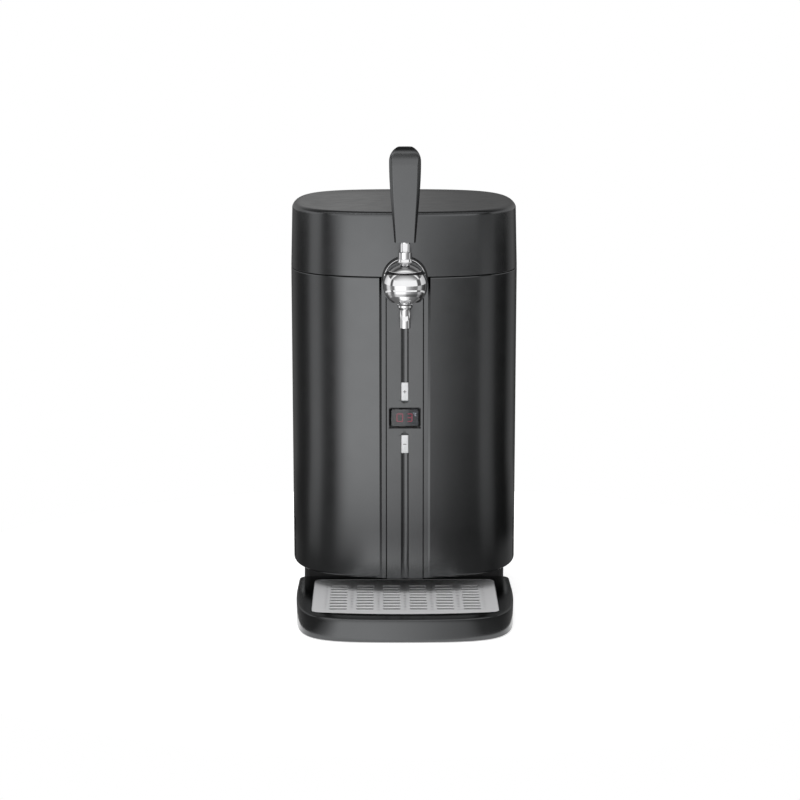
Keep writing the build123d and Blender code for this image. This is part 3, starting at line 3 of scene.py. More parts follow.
import bmesh
import bpy
import numpy as np
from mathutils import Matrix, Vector


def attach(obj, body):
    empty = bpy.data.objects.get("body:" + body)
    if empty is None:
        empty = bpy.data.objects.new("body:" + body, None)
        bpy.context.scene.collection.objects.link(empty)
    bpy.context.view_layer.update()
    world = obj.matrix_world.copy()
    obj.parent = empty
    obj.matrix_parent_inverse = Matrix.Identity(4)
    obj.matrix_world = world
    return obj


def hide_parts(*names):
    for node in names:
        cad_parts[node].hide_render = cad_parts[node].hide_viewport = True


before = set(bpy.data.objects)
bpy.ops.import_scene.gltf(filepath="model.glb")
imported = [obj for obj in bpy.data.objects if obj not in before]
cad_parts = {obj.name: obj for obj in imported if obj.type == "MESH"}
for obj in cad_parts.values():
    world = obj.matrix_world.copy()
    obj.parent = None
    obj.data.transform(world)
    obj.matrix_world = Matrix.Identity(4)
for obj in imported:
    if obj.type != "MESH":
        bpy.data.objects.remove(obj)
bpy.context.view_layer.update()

# Shapes are worked out in millimetres, x to the right, y from the keg's axis to the back, z from the table.
# KEG_Y carries them into the frame, where the middle of the footprint is the origin.
KEG_Y = 27.75
MM = 0.001

# --- sizes that the solids share
HALF_WIDTH, FRONT_DEPTH, REAR_DEPTH = 129.5, 122.8, 176
FRONT_BOW, REAR_BOW = 0.69, 0.80
BODY_BOTTOM, SEAM, LID_TOP, SEAM_GAP = 43.3, 384.6, 456.7, 1.2
BOTTOM_INSET, TOP_INSET, WALL = 1.1, 1.7, 3.2
BODY_TOP, LID_BOTTOM = SEAM - SEAM_GAP / 2, SEAM + SEAM_GAP / 2
TAP_Y, TAP_Z = -151, 379.4
TAP_CENTER = (0, TAP_Y, TAP_Z)
BALL_R, HOOD_R, HOOD_IN = 24.8, 25.9, 25.1
SHANK_Z = TAP_Z - 10
PANEL_FACE, PANEL_LEDGE, RECESS_FLOOR = -122.3, -119.7, -117.8
DISPLAY_Z = 226.8
KEY_OFFSET = 29.7
KEY_HEIGHTS = (DISPLAY_Z + KEY_OFFSET, DISPLAY_Z - KEY_OFFSET)
HANDLE_FOOT, HANDLE_LENGTH = 426.8, 105.3
TRAY_TOP, GRILLE_SEAT, GRILLE_TOP = 26.8, 24.6, 26.2
HINGE_Y = REAR_DEPTH + 5.5


# --- meshes from arrays
def quads(rows, cols, close_cols=False, keep=None):
    """Faces of a grid of rows by cols points: cell (i, j) joins (i, j), (i, j+1), (i+1, j+1) and (i+1, j)."""
    i, j = np.meshgrid(np.arange(rows - 1), np.arange(cols if close_cols else cols - 1), indexing="ij")
    if keep is not None:
        i, j = i[keep], j[keep]
    k = (j + 1) % cols
    faces = [i * cols + j, i * cols + k, (i + 1) * cols + k, (i + 1) * cols + j]
    return np.stack(faces, axis=-1).reshape(-1, 4)


def put(name, data):
    """A new object in the scene, at the origin."""
    thing = bpy.data.objects.new(name, data)
    bpy.context.scene.collection.objects.link(thing)
    return thing


def make_piece(name, grid, material, slot, body="case", replaces=(), crease=35, flip=False, weld=True):
    """One mesh piece from (points in mm, index faces); smooth but for edges sharper than crease."""
    points, faces = grid
    points = np.asarray(points, float).reshape(-1, 3) + (0, KEG_Y, 0)
    mesh = bpy.data.meshes.new(name)
    mesh.from_pydata((points * MM).tolist(), [], (faces[:, ::-1] if flip else faces).tolist())
    work = bmesh.new()
    work.from_mesh(mesh)
    if weld:
        bmesh.ops.remove_doubles(work, verts=work.verts, dist=1e-6)
        bmesh.ops.dissolve_degenerate(work, edges=work.edges, dist=1e-7)
    if not any(edge.is_boundary for edge in work.edges):
        bmesh.ops.recalc_face_normals(work, faces=work.faces)
    work.to_mesh(mesh)
    work.free()
    mesh.validate()
    mesh.shade_smooth()
    mesh.set_sharp_from_angle(angle=math.radians(crease))
    piece = put(name, mesh)
    mesh.materials.append(material)
    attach(piece, body)
    if replaces:
        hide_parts(*replaces)
    return piece


def thicken(piece, depth):
    """Gives an open skin a wall of depth millimetres inwards, with crisp edges round its openings."""
    work = bmesh.new()
    work.from_mesh(piece.data)
    for edge in work.edges:
        if edge.is_boundary:
            edge.smooth = False
    work.to_mesh(piece.data)
    work.free()
    wall = piece.modifiers.new("wall", "SOLIDIFY")
    wall.thickness = depth * MM
    wall.offset = -1
    wall.use_even_offset = True


def full_turn(count, start=0):
    """Equal angles once round, in radians."""
    return np.linspace(start, start + 2 * np.pi, count, endpoint=False)


def circle(radius, count, start=0):
    """A circle about the origin as a closed (n, 2) outline."""
    turn = full_turn(count, start)
    return radius * np.stack([np.cos(turn), np.sin(turn)], axis=1)


def arc(center, radius, start, end, count=6):
    """Points on an arc: (u, v) pairs from start to end degrees."""
    turn = np.radians(np.linspace(start, end, count))
    return np.stack([center[0] + radius * np.cos(turn), center[1] + radius * np.sin(turn)], axis=1)


def revolve(profile, center, axis="z", count=64):
    """Profile of (radius, height) pairs turned about an axis through center: column k is at 2*pi*k/count."""
    profile = np.asarray(profile, float)
    turn = full_turn(count)
    a, b = profile[:, :1] * np.cos(turn), profile[:, :1] * np.sin(turn)
    c = np.broadcast_to(profile[:, 1:], a.shape)
    points = np.stack({"x": (c, a, b), "y": (a, c, -b), "z": (a, b, c)}[axis], axis=-1)
    return points + np.asarray(center, float), quads(len(profile), count, close_cols=True)


def joined(*parts):
    """Several (points, faces) grids as one: the faces of each move on by the count of points before them."""
    points = [np.asarray(part[0], float).reshape(-1, 3) for part in parts]
    before = np.cumsum([0] + [len(part) for part in points[:-1]])
    return np.concatenate(points), np.concatenate([part[1] + k for part, k in zip(parts, before)])


def rings(stack, closed=False):
    """Skin over a stack of equal rings, each (n, 3); closed ends meet in one point at their ring's middle."""
    stack = [np.asarray(ring, float) for ring in stack]
    count = len(stack[0])
    if closed:
        first, last = (np.repeat(ring.mean(axis=0)[None], count, axis=0) for ring in (stack[0], stack[-1]))
        stack = [first, *stack, last]
    return np.stack(stack).reshape(-1, 3), quads(len(stack), count, close_cols=True)


def at_height(ring, z):
    """An (n, 2) ring put at height z, one number or one per point."""
    return np.column_stack([ring, np.broadcast_to(z, len(ring))])


def upright(shape, y):
    """An (x, z) outline as a ring at depth y, one number or one per point."""
    return np.column_stack([shape[:, 0], np.broadcast_to(y, len(shape)), shape[:, 1]])


# --- outlines
def bezier(points, t):
    """Cubic Bezier through four (x, y) control points at t."""
    p = np.asarray(points, float)
    t = np.asarray(t, float)[..., None]
    return (1 - t) ** 3 * p[0] + 3 * (1 - t) ** 2 * t * p[1] + 3 * (1 - t) * t**2 * p[2] + t**3 * p[3]


def draft(z):
    """How far the case has come in at height z from its widest line at the seam."""
    z = np.asarray(z, float)
    below = BOTTOM_INSET * (SEAM - z) / (SEAM - BODY_BOTTOM)
    above = TOP_INSET * (z - SEAM) / (LID_TOP - SEAM)
    return np.where(z < SEAM, below, above)


def case_xy(s, inset=0):
    """Case outline at s from 0 (front) over 1 (right), 2 (back), 3 (left) to 4, moved in by inset."""
    s, inset = np.broadcast_arrays(np.asarray(s, float) % 4, np.asarray(inset, float))
    left = s > 2
    q = np.where(left, 4 - s, s)
    w, f, r = HALF_WIDTH - inset, FRONT_DEPTH - inset, REAR_DEPTH - inset
    t = np.where(q <= 1, q, q - 1)
    b0, b1, b2, b3 = (1 - t) ** 3, 3 * (1 - t) ** 2 * t, 3 * (1 - t) * t**2, t**3
    x = np.where(q <= 1, w * (FRONT_BOW * b1 + b2 + b3), w * (b0 + b1 + REAR_BOW * b2))
    y = np.where(q <= 1, -f * (b0 + b1 + FRONT_BOW * b2), r * (REAR_BOW * b1 + b2 + b3))
    return np.where(left, -x, x), y


def case_at_y(y, inset=0):
    """s on the right side of the case where the outline passes y."""
    s = np.linspace(0, 2, 2001)
    return np.interp(y, case_xy(s, inset)[1], s)


def case_at_x(x, rear=False, inset=0):
    """s on the right side of the case where the outline passes x, in front or at the back."""
    s = np.linspace(2, 1, 1001) if rear else np.linspace(0, 1, 1001)
    return np.interp(x, case_xy(s, inset)[0], s)


def case_surface(s, profile):
    """Grid over the case: rows follow a profile of (inset, z) pairs, columns follow s round the outline."""
    profile = np.asarray(profile, float)
    z = profile[:, 1:]
    x, y = case_xy(np.asarray(s)[None, :], profile[:, :1] + draft(z))
    return np.stack([x, y, np.broadcast_to(z, x.shape)], axis=-1)


def dense(outline, steps=24):
    """A closed outline with every stretch between two points cut into equal steps."""
    here = np.asarray(outline, float)
    after = np.roll(here, -1, axis=0)
    share = np.linspace(0, 1, steps, endpoint=False)[None, :, None]
    return (here[:, None] * (1 - share) + after[:, None] * share).reshape(-1, 2)


def polar_ring(outline, center, count=240):
    """A closed (n, 2) outline sampled again at equal angles about a centre inside it."""
    shifted = dense(outline) - center
    angle = np.unwrap(np.arctan2(shifted[:, 1], shifted[:, 0]))
    radius = np.hypot(shifted[:, 0], shifted[:, 1])
    if angle[-1] < angle[0]:
        angle, radius = angle[::-1], radius[::-1]
    want = full_turn(count, -np.pi)
    base = np.concatenate([angle + 2 * np.pi * turns for turns in (-2, -1, 0, 1, 2)])
    order = np.argsort(base)
    r = np.interp(want, base[order], np.tile(radius, 5)[order])
    return np.stack([center[0] + r * np.cos(want), center[1] + r * np.sin(want)], axis=1)


def rounded(corners, radii, count=8):
    """Closed outline through corner points, each corner rolled over its own radius by an arc."""
    corners = np.asarray(corners, float)
    out = []
    for k, radius in enumerate(radii):
        here, before, after = corners[k], corners[k - 1], corners[(k + 1) % len(corners)]
        if radius <= 0:
            out.append(here[None])
            continue
        u = (before - here) / np.linalg.norm(before - here)
        v = (after - here) / np.linalg.norm(after - here)
        half = math.acos(float(np.clip(u @ v, -1, 1))) / 2
        reach = radius / math.tan(half)
        middle = here + (u + v) / np.linalg.norm(u + v) * radius / math.sin(half)
        start, end = here + u * reach - middle, here + v * reach - middle
        a0, a1 = math.atan2(start[1], start[0]), math.atan2(end[1], end[0])
        way = a0 + ((a1 - a0 + math.pi) % (2 * math.pi) - math.pi) * np.linspace(0, 1, count)
        out.append(middle + radius * np.stack([np.cos(way), np.sin(way)], axis=1))
    return np.concatenate(out)


def box_ring(width, tall, radius, center=(0, 0), count=8):
    """Rounded rectangle as a closed outline."""
    w, t = width / 2, tall / 2
    return rounded([(w, -t), (w, t), (-w, t), (-w, -t)], [radius] * 4, count) + center


# --- finishes
def feed(tree, value, socket):
    """Links another node's output to a socket, or writes a plain value on it."""
    if isinstance(value, bpy.types.NodeSocket):
        tree.links.new(value, socket)
    else:
        socket.default_value = value


def add(tree, kind, **inputs):
    """A new shader node with inputs filled by name; underscores stand for spaces."""
    node = tree.nodes.new("ShaderNode" + kind)
    for key, value in inputs.items():
        feed(tree, value, node.inputs[key.replace("_", " ")])
    return node


def calculate(tree, operation, *values):
    """Result of a math node on one to three values."""
    node = add(tree, "Math")
    node.operation = operation
    for value, socket in zip(values, node.inputs):
        feed(tree, value, socket)
    return node.outputs["Value"]


def new_material(name):
    """A material and its node tree, which is still empty."""
    material = bpy.data.materials.new(name)
    material.use_nodes = True
    material.node_tree.nodes.clear()
    return material, material.node_tree


def noise(tree, scale, detail=3, stretch=(1, 1, 1), roughness=0.55):
    """Noise on Object coordinates, pulled along an axis by stretch. Scale is in turns per metre."""
    place = add(tree, "Mapping", Vector=add(tree, "TexCoord").outputs["Object"], Scale=stretch)
    grain = add(tree, "TexNoise", Vector=place.outputs["Vector"], Scale=scale, Detail=detail, Roughness=roughness)
    return grain.outputs["Fac"]


def between(tree, factor, low, high):
    """Maps a noise factor to a value between low and high."""
    span = add(tree, "MapRange", Value=factor, From_Min=0.3, From_Max=0.7, To_Min=low, To_Max=high)
    return span.outputs["Result"]


def blend_colors(tree, factor, first, second):
    """Mixes two colours by a factor."""
    mix = tree.nodes.new("ShaderNodeMix")
    mix.data_type = "RGBA"
    mix.inputs["A"].default_value = (*first, 1)
    mix.inputs["B"].default_value = (*second, 1)
    tree.links.new(factor, mix.inputs["Factor"])
    return mix.outputs["Result"]


def principled(tree, color, roughness, layers=(), **values):
    """Principled shader with its plain values, over bump layers of (height, strength, millimetres)."""
    shader = add(tree, "BsdfPrincipled", Base_Color=color, Roughness=roughness, **values)
    upper = shader
    for height, strength, distance in reversed(layers):
        layer = add(tree, "Bump", Height=height, Strength=strength, Distance=distance * MM)
        tree.links.new(layer.outputs["Normal"], upper.inputs["Normal"])
        upper = layer
    add(tree, "OutputMaterial", Surface=shader.outputs["BSDF"])


def scaled(color, factor):
    """A colour with its three parts multiplied, none above 1."""
    return tuple(min(1, factor * part) for part in color)


def dressed(name, tone, colors, gloss, rough, *layers, **values):
    """Finish from noises: one mixes two colours, one sets the gloss, and each layer lifts the surface a little."""
    material, tree = new_material(name)
    shade = blend_colors(tree, noise(tree, *tone), *colors)
    bumps = [(noise(tree, *grain), strength, distance) for grain, strength, distance in layers]
    principled(tree, shade, between(tree, noise(tree, *gloss), *rough), bumps, **values)
    return material


def satin_coat(name="satin_coat", tone=0.122, rough=(0.19, 0.23)):
    """Graphite metallic coat: satin, with a fine even orange peel and a slightly uneven tone and gloss."""
    hue = (0.98 * tone, tone, 1.02 * tone)
    peel = ((900, 2), 0.04, 0.03), ((3500, 2), 0.03, 0.015)
    return dressed(name, (9, 3), (scaled(hue, 0.95), scaled(hue, 1.05)), (60, 4), rough, *peel, Metallic=1)


def moulded(name, dark, light, rough=(0.45, 0.6), grain=1400, depth=0.25, level=0.5):
    """Moulded plastic: a fine pebble grain, faint flow clouds in the colour and in the gloss."""
    pebbles = ((grain, 3), depth, 0.08), ((120, 2), depth * 0.3, 0.1)
    return dressed(name, (14, 4), (dark, light), (45, 4), rough, *pebbles, Specular_IOR_Level=level)


def polished(name, tone):
    """Bright plated metal: very smooth, with hair-fine wiping marks and a faint ripple under the plating."""
    marks = ((160, 2), 0.02, 0.05), ((2600, 3, (1, 1, 8)), 0.01, 0.01)
    wiping, tints = (260, 5, (1, 1, 6)), (scaled(tone, 0.96), tone)
    return dressed(name, (30, 3), tints, wiping, (0.03, 0.06), *marks, Metallic=1)


def brushed(name, tone, along, rough=(0.22, 0.36), depth=0.12, metallic=1):
    """Brushed metal: long hair lines along one axis, in colour, gloss and height."""
    lines, tints = (2400, 4, along, 0.7), (scaled(tone, 0.86), scaled(tone, 1.06))
    layers = (lines, depth, 0.03), ((60, 2), 0.04, 0.1)
    return dressed(name, lines, tints, lines, rough, *layers, Metallic=metallic)


def dark_glass():
    """Smoked clear cover: mostly see-through, glossy, with a faint smear in its gloss."""
    smoke = (0.30, 0.31, 0.34), (0.36, 0.37, 0.40)
    return dressed("smoked_cover", (40, 2), smoke, (300, 4), (0.03, 0.08), Transmission_Weight=1, IOR=1.6)


def lit(name, color, strength):
    """A lit display segment: the colour glows, a little weaker towards its grain."""
    material, tree = new_material(name)
    tone = blend_colors(tree, noise(tree, 900, 2), scaled(color, 0.85), color)
    principled(tree, tone, 0.4, Emission_Color=tone, Emission_Strength=strength)
    return material


def soft_foam():
    """Rigid insulating foam: cream, matt, with closed bubbles."""
    material, tree = new_material("rigid_foam")
    cells = add(tree, "TexVoronoi", Vector=add(tree, "TexCoord").outputs["Object"], Scale=900)
    tone = blend_colors(tree, noise(tree, 30, 4), (0.62, 0.55, 0.38), (0.74, 0.68, 0.50))
    bubbles = (cells.outputs["Distance"], 0.4, 0.3), (noise(tree, 80, 3), 0.2, 0.4)
    principled(tree, tone, 0.9, bubbles, Specular_IOR_Level=0.2)
    return material


def circuit_board():
    """Solder mask with a maze of tracks under it, a little brighter where copper lies below."""
    material, tree = new_material("circuit_board")
    place = add(tree, "TexCoord").outputs["Object"]
    tracks = add(tree, "TexBrick", Vector=place, Scale=160, Mortar_Size=0.06).outputs["Fac"]
    tone = blend_colors(tree, tracks, (0.008, 0.07, 0.02), (0.02, 0.16, 0.05))
    mask = (tracks, 0.3, 0.03), (noise(tree, 900, 2), 0.1, 0.02)
    principled(tree, tone, between(tree, noise(tree, 200, 3), 0.25, 0.4), mask)
    return material


SATIN = satin_coat()
BLACK_PLASTIC = moulded("black_moulding", (0.012, 0.012, 0.013), (0.019, 0.019, 0.020))
GREY_PLASTIC = moulded("grey_moulding", (0.055, 0.056, 0.058), (0.072, 0.073, 0.076), (0.38, 0.5), 1100, 0.15)
RUBBER = moulded("rubber", (0.011, 0.011, 0.011), (0.018, 0.018, 0.018), (0.65, 0.8), 2200, 0.3, 0.35)
TRAY_GLOSS = satin_coat("tray_gloss", 0.10, (0.14, 0.18))
HANDLE_SATIN = satin_coat("handle_satin", 0.13, (0.20, 0.24))
BEZEL_GLOSS = moulded("bezel_gloss", (0.005, 0.005, 0.006), (0.008, 0.008, 0.009), (0.12, 0.2), 1500, 0.02)
SILVER_KEY = moulded("silver_key", (0.74, 0.75, 0.76), (0.80, 0.81, 0.82), (0.25, 0.33), 1800, 0.05)
MARK_GREY = moulded("mark_grey", (0.10, 0.10, 0.11), (0.13, 0.13, 0.14), (0.4, 0.5))
CHROME = polished("chrome", (0.93, 0.93, 0.94))
TURNED_STEEL = brushed("turned_steel", (0.60, 0.60, 0.61), (1, 1, 0.05))
SCREW_STEEL = brushed("screw_steel", (0.55, 0.55, 0.57), (1, 0.1, 1), (0.3, 0.42))
GRILLE_STEEL = brushed("grille_steel", (0.78, 0.78, 0.79), (0.02, 1, 1), (0.34, 0.44), 0.1, 0.25)
CHAMBER_METAL = brushed("chamber_metal", (0.66, 0.67, 0.68), (1, 1, 0.03), (0.28, 0.4))
SINK_METAL = brushed("sink_metal", (0.62, 0.63, 0.65), (1, 1, 0.03), (0.35, 0.45))
SMOKED = dark_glass()
FOAM = soft_foam()
BOARD = circuit_board()
CERAMIC = moulded("ceramic", (0.68, 0.68, 0.66), (0.78, 0.78, 0.76), (0.4, 0.55), 600, 0.1)
HOSE = moulded("milky_hose", (0.50, 0.52, 0.53), (0.62, 0.64, 0.65), (0.2, 0.3), 500, 0.05)
DISPLAY_FACE = moulded("display_face", (0.004, 0.003, 0.003), (0.007, 0.005, 0.005), (0.25, 0.35), 1200, 0.03)
RED_SEGMENT = lit("red_segment", (1, 0.03, 0.12), 0.85)
WHITE_SEGMENT = lit("white_segment", (0.9, 0.92, 1), 1.3)


def coat_piece(name, grid, body="case", **options):
    """A piece with the case's satin coat."""
    return make_piece(name, grid, SATIN, "case_coat", body, **options)


def chrome_piece(name, grid, body="case", **options):
    """A piece of the tap with its plating."""
    return make_piece(name, grid, CHROME, "tap_chrome", body, **options)


# --- case
RECESS_HALF, RECESS_EDGE, RECESS_BACK = 25.8, 28.3, -115
VENT_ROWS = ((46.7, 70.2), (71.9, 95.4))
VENT_STARTS, VENT_WIDTH = -38 + 10 * np.arange(14), 5
PLATE_WIDTH, KEY_PASSAGE = 63.6, (12.4, 24.6, 0.5)
COVER_HALF, COVER_Z = 72.4, (57.6, 352.4)
BODY_ROLL, HEM = 2.4, 0.6


def body_skin():
    """Outer wall of the body: outline s round the case against height, left open at the recess, vents and back."""
    vent_s = np.sort(case_at_y(np.concatenate([VENT_STARTS, VENT_STARTS + VENT_WIDTH]), 1))
    s_recess = case_at_x(RECESS_EDGE, inset=HEM)
    s_cover = case_at_x(COVER_HALF, rear=True, inset=HEM)
    smooth = [np.linspace(s_recess, vent_s[0], 50), np.linspace(vent_s[-1], s_cover, 30)]
    right = np.unique(np.round(np.concatenate([*smooth, vent_s]), 7))
    s = np.concatenate([right, np.linspace(s_cover, 4 - s_cover, 26)[1:-1], (4 - right)[::-1]])
    turn = np.linspace(0, np.pi / 2, 6)
    rise = np.stack([BODY_ROLL - BODY_ROLL * np.sin(turn), BODY_BOTTOM + BODY_ROLL - BODY_ROLL * np.cos(turn)], 1)
    heights = sorted([50, *VENT_ROWS[0], *VENT_ROWS[1], *COVER_Z, 110, 150, 200, 250, 300, 340])
    lip = [(0, -4), (0, -1.2), (0, -HEM), (0.18, -0.18), (HEM, 0)]
    profile = np.concatenate([rise, [(0, z) for z in heights], np.array(lip) + (0, BODY_TOP)])
    z_mid = (profile[:-1, 1] + profile[1:, 1]) / 2
    s_mid = (s[:-1] + s[1:]) / 2
    side = np.where(s_mid > 2, 4 - s_mid, s_mid)
    in_row, in_slot = np.zeros(len(z_mid), bool), np.zeros(len(s_mid), bool)
    for low, high in VENT_ROWS:
        in_row |= (z_mid > low) & (z_mid < high)
    for start in VENT_STARTS:
        first, last = case_at_y(start, 1), case_at_y(start + VENT_WIDTH, 1)
        in_slot |= (side > first - 1e-6) & (side < last + 1e-6)
    in_back = (z_mid > COVER_Z[0]) & (z_mid < COVER_Z[1])
    keep = ~(np.outer(in_row, in_slot) | np.outer(in_back, side > s_cover - 1e-6))
    return case_surface(s, profile), quads(len(profile), len(s), keep=keep)


def recess_flanks():
    """Sides of the recess: from the skin's front edges in to the panel's ledge, and straight back to the floor."""
    z = np.array([BODY_BOTTOM + 0.4, 120, 200, 300, BODY_TOP - 0.1])
    s_edge = np.array([case_at_x(RECESS_EDGE, inset=HEM)])
    edge = case_surface(s_edge, np.stack([np.zeros(len(z)), z], axis=1))[:, 0]
    inside = np.column_stack([np.full(len(z), RECESS_HALF), z])
    ledge, foot = upright(inside, PANEL_LEDGE), upright(inside, RECESS_FLOOR)
    right = np.stack([edge, edge * 0.4 + ledge * 0.6, ledge, foot])
    faces = quads(4, len(z))
    return joined((right, faces), (right * (-1, 1, 1), faces[:, ::-1]))


def leaf(x0, x1, up):
    """Hinge ear: a round end on the hinge's axis and a root that runs into the wall, carried from x0 to x1."""
    radius, root, gap = 5, HINGE_Y - 12, SEAM + up * SEAM_GAP / 2
    nose = arc((HINGE_Y, SEAM), radius, up * 45, -up * 90, 18)
    heel = arc((HINGE_Y, SEAM), radius, -up * 90, -up * 180, 8)[1:]
    end = radius * math.cos(math.radians(45))
    wall = [(HINGE_Y - 4.9, gap), (root, gap), (root, SEAM + up * (end + 12 + end))]
    shape = np.concatenate([nose, heel, wall])
    return rings([np.column_stack([np.full(len(shape), x), shape]) for x in (x0, x1)], True)


skin = coat_piece("body_wall", body_skin(), replaces=("body_shell",))
thicken(skin, WALL)

ear_places = [side * 45 + ear * 16.9 for side in (-1, 1) for ear in (-1, 1)]
coat_piece("hinge_ears", joined(*[leaf(x - 4.5, x + 4.5, -1) for x in ear_places]))


def floor_plate():
    """Underside of the body: rings of the case outline drawn in to its middle, cut off at the panel's recess."""
    x, y = case_xy(np.linspace(0, 4, 240, endpoint=False), BODY_ROLL + draft(BODY_BOTTOM))
    y = np.where(np.abs(x) < RECESS_HALF, np.maximum(y, RECESS_FLOOR), y)
    edge = np.stack([x, y], axis=1)
    below, above = ([at_height(edge * k + (0, 20 * (1 - k)), z) for k in (1, 0.7, 0.35, 0.001)]
                    for z in (BODY_BOTTOM, BODY_BOTTOM + 3))
    return rings(below[::-1] + above)


coat_piece("body_floor", floor_plate())


def plate(outline, y_front, y_back, hole=None):
    """Upright plate: an (x, z) outline carried from y_front to y_back, with one smaller outline cut through."""
    count = 160
    middle = np.asarray(outline).mean(axis=0)
    outer = polar_ring(outline, middle, count)
    if hole is None:
        return rings([upright(outer, y_front), upright(outer, y_back)], True)
    inner = polar_ring(hole, middle, count)
    loop = [(inner, y_back), (inner, y_front), (outer, y_front), (outer, y_back), (inner, y_back)]
    return rings([upright(shape, y) for shape, y in loop])


thicken(coat_piece("recess_sides", recess_flanks(), crease=30), 0.8)

backing = []
for z, tall, key_z in ((326.9, 113.8, None), (255.75, 28.5, KEY_HEIGHTS[0]), (226.75, 29.5, None),
                       (197.5, 29, KEY_HEIGHTS[1]), (113.15, 139.7, None)):
    key_hole = None if key_z is None else box_ring(*KEY_PASSAGE, (0, key_z))
    backing.append(plate(box_ring(PLATE_WIDTH, tall, 0, (0, z)), RECESS_FLOOR, RECESS_BACK, key_hole))
coat_piece("recess_backing", joined(*backing), weld=False)


def seat_ring():
    """Seat that the rear cover lies on: an inner skin behind the rebate, open in the middle."""
    edge, opening = case_at_x(74, rear=True), case_at_x(60, rear=True)
    across = [(edge, opening, 6), (opening, 4 - opening, 16), (4 - opening, 4 - edge, 6)]
    first, middle, last = (np.linspace(*span) for span in across)
    s = np.concatenate([first, middle[1:-1], last])
    z = np.array([54, 62, 70, 120, 200, 280, 340, 348, 356])
    points = case_surface(s, np.stack([np.full(len(z), 1.8), z], axis=1))
    z_mid, s_mid = (z[:-1] + z[1:]) / 2, (s[:-1] + s[1:]) / 2
    keep = ~np.outer((z_mid > 70) & (z_mid < 340), (s_mid > opening) & (s_mid < 4 - opening))
    return points, quads(len(z), len(s), keep=keep)


thicken(coat_piece("cover_seat", seat_ring()), 1.4)

LID_ROLL, LID_CEILING = 4.6, 452.2


def lid_skin():
    """Lid: one closed profile of (inset, z) round the case outline, with a rolled top edge and a shallow dish."""
    skirt = [(0.7, -0.4), (0.2, -0.25), (0, 0.1), (0, 0.8), (0, 3)]
    wall = [(0, 425), (0, LID_TOP - 8), (0, LID_TOP - 5.4)]
    roll = arc((LID_ROLL, LID_TOP - LID_ROLL), LID_ROLL, 180, 90, 10)
    dish = [(6.6, 0), (7.6, -0.03), (10, -0.22), (16, -0.7), (22, -1.16), (26, -1.3)]
    profile = np.concatenate([np.array(skirt) + (0, LID_BOTTOM), wall, roll, np.array(dish) + (0, LID_TOP)])
    s = np.linspace(0, 4, 320, endpoint=False)
    top = case_surface(s, profile)
    inner = case_surface(s, [(3.2, LID_BOTTOM - 0.4), (3.2, 420), (3.2, LID_CEILING)])[::-1]
    center, under = np.array([0, 26.6, LID_TOP - 1.3]), np.array([0, 26.6, LID_CEILING])
    fill = [top[-1] * k + center * (1 - k) for k in (0.7, 0.4, 0.12, 0)]
    ceiling = [under * (1 - k) + inner[0] * k for k in (0, 0.5)]
    return rings(ceiling + list(inner) + list(top) + fill)


coat_piece("lid_cover", lid_skin(), "lid", replaces=("lid_shell",), crease=50)
coat_piece("lid_knuckles", joined(*[leaf(side * 45 - 12, side * 45 + 12, 1) for side in (-1, 1)]), "lid")

# --- base, feet
TRAY_HALF, TRAY_REAR_HALF, TRAY_FRONT, TRAY_WIDEST, TRAY_REAR = 121.8, 120.6, 242, 106, 40
TRAY_BOW = 0.91
TRAY_MIDDLE = np.array([0, -140])
BASE_MIDDLE, BASE_FRONT = np.array([0, 60]), -39


def tray_outline(inset=0):
    """Drip tray seen from above: Bezier front, nearly straight sides, straight back with rolled corners."""
    side, rear_side, front = TRAY_HALF - inset, TRAY_REAR_HALF - inset, TRAY_FRONT - inset
    run, back = front - TRAY_WIDEST, -TRAY_REAR - inset
    curve = [(0, -front), (TRAY_BOW * side, -front), (side, -TRAY_WIDEST - TRAY_BOW * run), (side, -TRAY_WIDEST)]
    half = bezier(curve, np.linspace(0, 1, 80))
    tail = rounded([(side, -TRAY_WIDEST), (rear_side, back), (0, back)], [0, 10, 0], 12)[1:]
    right = np.concatenate([half, tail])
    left = right[::-1] * (-1, 1)
    return np.concatenate([right, left[1:-1]])


def base_ring(inset, z):
    """Base outline: the case drawn in by inset and cut off straight behind the tray."""
    x, y = case_xy(np.linspace(0, 4, 480, endpoint=False), inset + draft(z))
    return at_height(polar_ring(np.stack([x, np.maximum(y, BASE_FRONT)], axis=1), BASE_MIDDLE), z)


base_profile = [(13.2, 4), (12.4, 4.3), (12, 5.2), (12, 20), (12, 43.2)]
base_wall = rings([base_ring(inset, z) for inset, z in base_profile], True)
tongue_edge = polar_ring(tray_outline(3.1) * (117.5 / 118.7, 1), np.array([0, -130]))
tongue = rings([at_height(tongue_edge, 4), at_height(tongue_edge, 7)], True)
make_piece("base_block", joined(base_wall, tongue), BLACK_PLASTIC, "black_plastic", replaces=("base_housing",))

foot_profile = [(0, 0), (10.4, 0), (11.3, 0.3), (12, 1.2), (12, 4), (4, 4), (4, 6.5), (0, 6.5)]
feet = [revolve(foot_profile, (side * 82, y, 0), count=40) for side in (-1, 1) for y in (-204, 116)]
make_piece("feet", joined(*feet), RUBBER, "black_rubber", replaces=("rubber_feet",))

# --- tap
BALL_FLAT = 18
TURN = full_turn(120)


def on_ball(radius, polar):
    """Ring on a sphere about the tap's centre, at one polar angle for each azimuth in TURN."""
    out = radius * np.sin(polar)
    return np.stack([out * np.cos(TURN), out * np.sin(TURN), radius * np.cos(polar)], axis=1) + TAP_CENTER


